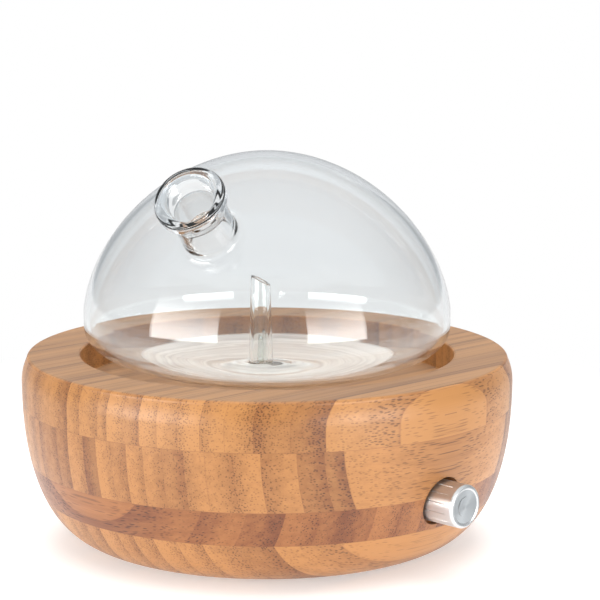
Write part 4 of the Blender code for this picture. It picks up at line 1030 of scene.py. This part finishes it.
def make_glass():
    bm = bmesh.new()
    outline, chimney = reservoir_outline()
    revolve(bm, outline, GLASS_SIDES, shift=tube_shift(chimney))
    join_spout(bm)
    mesh = mesh_of("reservoir", bm)
    smooth_dome(mesh)
    materials = [
        glass("blown_glass"),
        glass("dome_skin", smoky=True),
        glass("floor_sheen_glass", floor_sheen=True),
    ]
    vessel = add_piece("reservoir_vessel", mesh, "reservoir", materials)
    for face in mesh.polygons:
        face.material_index = glass_zone(face)
    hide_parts("glass_reservoir", "glass_chimney", "air_stem")
    feed_tube()


# ---------------- knob

KNOB_GROOVES = 14
GROOVE_HALF = radians(1.3)
GROOVE_DEPTH = 0.22 * MM
GROOVE_Y = (3.2 * MM, KNOB_LENGTH - 0.8 * MM)  # from the face back
KNOB_CHAMFER = 0.75 * MM
KNOB_DISH = 0.3 * MM
KNOB_HUB_R = 6.3 * MM
KNOB_BORE_R = 3.3 * MM
KNOB_BORE_DEPTH = 14.9 * MM
MARKS = 9000.0  # turning marks to the metre, roughly


def brushed_aluminium(name, face):
    """Turned aluminium: fine rings round its local Y axis, on the face or on the side.
    The face has a darker colour as painted shade, the side a lighter one as painted light.
    """
    s = Shader(name)
    x, y, z = s.split(s.position())
    run = s.hypotenuse(x, z) if face else y
    marks = s.noise(s.join(s.times(run, MARKS), 0.0, 0.0), 1.0, 3.0)
    specks = s.noise(s.position(), 2200.0)
    # painted light and shade: the same metal, darker on the face and lighter on the side
    light, dark = ((172, 176, 178), (132, 136, 142)) if face else ((232, 232, 232), (198, 199, 203))
    shade = s.mix(s.times(marks, 0.6), srgb(*light), srgb(*dark))
    return s.finish(
        shade,
        s.add(0.3, s.times(specks, 0.08)),
        Metallic=1.0,
        Normal=s.bump(marks, 0.004 * MM, 0.6),
        Tangent=s.node("ShaderNodeTangent", direction_type="RADIAL", axis="Y").outputs[0],
        Anisotropic=0.7,
        Anisotropic_Rotation=0.0 if face else 0.25,
    )


def knob_outline():
    """(radius, distance behind the face) from the dished face round the side into the bore."""
    face_r = KNOB_R - KNOB_CHAMFER
    back = KNOB_LENGTH
    outline = [
        (0, KNOB_DISH, 0),
        (face_r - 0.9 * MM, KNOB_DISH, 0.1 * MM),
        (face_r - 0.35 * MM, 0, 0.12 * MM),
        (face_r, 0, 0.1 * MM),
        (KNOB_R, KNOB_CHAMFER, 0.2 * MM),
        (KNOB_R, GROOVE_Y[0] - 0.2 * MM, 0),
        (KNOB_R, GROOVE_Y[0] + 0.2 * MM, 0),
        (KNOB_R, GROOVE_Y[1] - 0.2 * MM, 0),
        (KNOB_R, GROOVE_Y[1] + 0.2 * MM, 0),
        (KNOB_R, back, 0.25 * MM),
        (KNOB_HUB_R, back, 0.2 * MM),
        (KNOB_HUB_R, back - 3 * MM, 0),
        (KNOB_BORE_R, back - 3 * MM, 0),
        (KNOB_BORE_R, back - KNOB_BORE_DEPTH, 0),
        (0, back - KNOB_BORE_DEPTH, 0),
    ]
    return rounded(outline, steps=3)


def knob_spokes():
    """(angle, whether it is the bottom of a groove) of each line along the knob's side."""
    pitch = 2 * pi / KNOB_GROOVES
    gap = pitch - 2 * GROOVE_HALF
    spokes = []
    for k in range(KNOB_GROOVES):
        middle = pitch * (k + 0.5)
        spokes += [(middle - GROOVE_HALF, False), (middle, True), (middle + GROOVE_HALF, False)]
        spokes += [(middle + GROOVE_HALF + gap * j / 7, False) for j in range(1, 7)]
    return spokes


def make_knob():
    """Local +Y of the piece points back into the base; its origin is on the shaft's axis."""
    spokes = knob_spokes()
    bm = bmesh.new()
    rings = []
    for radius, depth in knob_outline():
        if radius < ON_AXIS:
            rings.append([bm.verts.new((0, depth, 0))])
            continue
        cut = GROOVE_Y[0] < depth < GROOVE_Y[1] and radius > KNOB_R - 0.01 * MM
        ring = []
        for angle, deep in spokes:
            r = radius - (GROOVE_DEPTH if cut and deep else 0)
            ring.append(bm.verts.new((r * cos(angle), depth, r * sin(angle))))
        rings.append(ring)
    skin(bm, zip(rings, rings[1:]))
    mesh = mesh_of("knob", bm, radians(25))
    materials = [
        brushed_aluminium("turned_side_painted_light", False),
        brushed_aluminium("brushed_face_painted_shade", True),
    ]
    place = (0, KNOB_LOW.y, KNOB_Z)
    knob = add_piece("knob", mesh, "knob", materials, place)
    for face in mesh.polygons:
        on_face = abs(face.normal.y) > 0.9 and face.center.y < 1 * MM
        face.material_index = 1 if on_face else 0
    broad_shading(knob)
    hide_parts("control_knob")


# ---------------- pieces kept from the CAD


def moulded(name, colour, roughness, grain=1600.0):
    """Moulded plastic or rubber with a fine texture."""
    s = Shader(name)
    fine = s.noise(s.position(), grain, 3.0)
    broad = s.noise(s.position(), 60.0)
    tone = s.mix(broad, colour, tuple(0.75 * c for c in colour))
    rough = s.add(roughness, s.swing(fine, 0.2))
    return s.finish(tone, rough, Normal=s.bump(fine, 0.02 * MM, 0.5))


def metal(name, colour, roughness):
    """Plain metal, a little uneven in tone."""
    s = Shader(name)
    fine = s.stretched_noise(s.split(s.position()), (1200.0, 1200.0, 7200.0), 3.0)
    broad = s.noise(s.position(), 90.0)
    tone = s.mix(broad, colour, tuple(0.8 * c for c in colour))
    rough = s.add(roughness, s.swing(fine, 0.15))
    return s.finish(tone, rough, Metallic=1.0, Normal=s.bump(fine, 0.008 * MM, 0.5))


def dress_nodes():
    """Gives every CAD node that still shows a material for its slot."""
    made = {
        "aluminium": metal("aluminium", (0.76, 0.76, 0.78), 0.28),
        "steel": metal("zinc_steel", (0.62, 0.63, 0.65), 0.33),
        "brass": metal("brass", (0.75, 0.52, 0.2), 0.3),
        "copper": metal("copper", (0.72, 0.34, 0.18), 0.35),
        "black_plastic": moulded("black_plastic", (0.02, 0.02, 0.022), 0.48),
        "white_plastic": moulded("white_plastic", (0.8, 0.79, 0.75), 0.42),
        "rubber": moulded("rubber", (0.03, 0.03, 0.03), 0.8, 900.0),
        "silicone": moulded("silicone", (0.72, 0.74, 0.74), 0.45),
        "foam": moulded("foam", (0.09, 0.09, 0.1), 0.95, 500.0),
        "magnet": moulded("magnet", (0.1, 0.1, 0.11), 0.6),
        "board": moulded("solder_mask", (0.02, 0.16, 0.07), 0.35),
        "red_wire": moulded("red_wire", (0.55, 0.02, 0.02), 0.4),
        "black_wire": moulded("black_wire", (0.015, 0.015, 0.015), 0.4),
        "grey_wire": moulded("grey_wire", (0.3, 0.3, 0.32), 0.4),
        "clear_glass": glass("tube_glass", (0.98, 0.99, 0.99)),
    }
    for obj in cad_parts.values():
        if obj.hide_render:
            continue
        slots = [s.material.name.split(".")[0] for s in obj.material_slots if s.material]
        chosen = next((made[s] for s in slots if s in made), made["black_plastic"])
        if not obj.material_slots:
            obj.data.materials.append(chosen)
        for s in obj.material_slots:
            s.material = chosen


# ---------------- studio

FLOOR_FADE = (0.1, 0.34)  # from the object's middle, where the paper turns from matt to lit
BACKDROP_DISTANCE = 0.75  # behind the object
SOFTBOX_DISTANCE = 0.62
SOFTBOX_HALF_HEIGHT = 0.29
SOFTBOX_MIDDLE_Z = 0.27
SOFTBOX_FADE_Z = (0.05, 0.42)  # bright at the bottom, dim at the top
SOFTBOX_STRENGTH = 10.0
SOFTBOX_DIM = 0.4  # its strength at the top
SOFTBOX_HELD_BACK = 0.45  # share of a softbox's light that matt surfaces don't get
SOFTBOX_BEHIND_GLASS = 1.0  # its brightest when seen straight through glass
WHITE = (1.0, 1.0, 1.0)


def paper():
    """Matt white studio paper, lit from behind so evenly further out that it has no horizon."""
    s = Shader("floor_paper")
    x, y, _ = s.split(s.position())
    reach = s.hypotenuse(x, y)
    flecks = s.noise(s.position(), 400.0)
    colour = s.mix(flecks, (0.78, 0.78, 0.78), (0.74, 0.74, 0.74))
    colour = s.mix(s.step(reach, *FLOOR_FADE), colour, (0.0, 0.0, 0.0))
    glow = s.step(reach, *FLOOR_FADE, (0.42, 1.0))
    s.finish(colour, 1.0, Specular_IOR_Level=0.0, Emission_Color=WHITE, Emission_Strength=glow)
    return s.front_only()


def sky():
    """Soft room light: brightest above, dim on the camera's side and white to the camera."""
    s = Shader("studio", sky=True)
    x, y, z = s.split(s.node("ShaderNodeTexCoord").outputs["Generated"])
    ahead = s.add(s.times(x, TO_CAMERA.x), s.times(y, TO_CAMERA.y))
    level = s.add(
        s.step(ahead, 0.45, 0.9, (0.42, 0.14)),
        s.step(z, 0.35, 0.9, (0.0, 0.6)),
        s.step(ahead, -0.95, -0.5, (0.15, 0.0)),
    )
    seen = s.node("ShaderNodeLightPath").outputs["Is Camera Ray"]
    level = s.math("MAXIMUM", level, seen)
    colour = s.mix(seen, (0.95, 0.98, 1.0), WHITE)
    return s.end(s.node("ShaderNodeBackground", {"Color": colour, "Strength": level}).outputs[0])


def card(name, centre, facing, size, material):
    """A flat card; size is half its width and half its height."""
    side = Vector((0, 0, 1)).cross(facing)
    side = side.normalized() if side.length > 0.1 else Vector((1, 0, 0))
    across = side * size[0]
    up = facing.cross(side) * size[1]
    corners = [centre - across - up, centre + across - up, centre + across + up, centre - across + up]
    mesh = bpy.data.meshes.new(name)
    mesh.from_pydata(corners, [], [(0, 1, 2, 3)])
    mesh.materials.append(material)
    return link(name, mesh)


def softbox(name, turn, half_width):
    """A tall glowing card for the long reflections in the glass, which alone show all of its
    strength. In degrees: turn from the camera, positive to the viewer's right, and the angle
    that half its width takes up."""
    out = way_out(CAMERA_TURN + radians(turn))
    s = Shader(f"{name}_glow")
    rays = s.node("ShaderNodeLightPath").outputs
    held_back = s.times(rays["Is Diffuse Ray"], SOFTBOX_HELD_BACK * SOFTBOX_STRENGTH)
    height = s.split(s.position())[2]
    strength = s.step(height, *SOFTBOX_FADE_Z, (s.minus(SOFTBOX_STRENGTH, held_back), SOFTBOX_DIM))
    unreflected = s.math("LESS_THAN", rays["Glossy Depth"], 0.5)
    seen_through = s.times(rays["Is Transmission Ray"], unreflected)
    dimming = 2 * SOFTBOX_STRENGTH - SOFTBOX_BEHIND_GLASS
    most = s.minus(2 * SOFTBOX_STRENGTH, s.times(seen_through, dimming))
    s.end(s.emission((1.0, 0.99, 0.97), s.math("MINIMUM", strength, most)))
    centre = out * SOFTBOX_DISTANCE + Vector((0, 0, SOFTBOX_MIDDLE_Z))
    size = (SOFTBOX_DISTANCE * tan(radians(half_width)), SOFTBOX_HALF_HEIGHT)
    box = card(name, centre, -out, size, s.front_only())
    box.visible_camera = False
    return box


def aim(obj, out, distance):
    """Puts an object that far out from the middle of the rim, looking back at it."""
    obj.location = Vector((0, 0, BASE_TOP_Z)) + out * distance
    obj.rotation_mode = "QUATERNION"
    obj.rotation_quaternion = (-out).to_track_quat("-Z", "Y")


def lamp(name, turn, rise, distance, size, power):
    """A soft lamp for the matt surfaces, with no reflection in the glass. Its turn is as a
    softbox's."""
    data = bpy.data.lights.new(name, "AREA")
    data.shape = "RECTANGLE"
    data.size, data.size_y = size
    data.energy = power
    obj = link(name, data)
    aim(obj, way_out(CAMERA_TURN + radians(turn), radians(rise)), distance)
    obj.visible_glossy = False
    obj.visible_transmission = False


def make_studio():
    scene = bpy.context.scene
    scene.view_settings.view_transform = "Standard"
    scene.cycles.max_bounces = 24
    scene.cycles.transmission_bounces = 24
    scene.cycles.transparent_max_bounces = 24
    scene.world = sky()

    floor_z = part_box("rubber_foot_1")[0].z - 0.05 * MM
    floor = card("floor", Vector((0, 0, floor_z)), Vector((0, 0, 1)), (3.0, 3.0), paper())
    white = Shader("backdrop_paper")
    white.end(white.emission(WHITE, 1.0))
    behind = VIEW_RIGHT * 0.02 - TO_CAMERA * BACKDROP_DISTANCE + Vector((0, 0, 0.22))
    backdrop = card("backdrop", behind, TO_CAMERA, (0.26, 0.24), white.front_only())
    backdrop.visible_glossy = False
    left = softbox("left_softbox", -51, 22)
    right = softbox("right_softbox", 42, 18.5)
    lamp("top", 0, 80, 1.0, (0.9, 0.9), 8)
    lamp("back", 180, 40, 1.2, (0.8, 0.6), 4)


def make_camera():
    data = bpy.data.cameras.new("camera")
    data.lens = CAMERA_LENS
    data.sensor_width = 36
    data.shift_x, data.shift_y = CAMERA_SHIFT
    camera = link("camera", data)
    aim(camera, way_out(CAMERA_TURN, CAMERA_RISE), CAMERA_DISTANCE)
    bpy.context.scene.camera = camera


make_base()
make_glass()
make_knob()
dress_nodes()
make_studio()
make_camera()
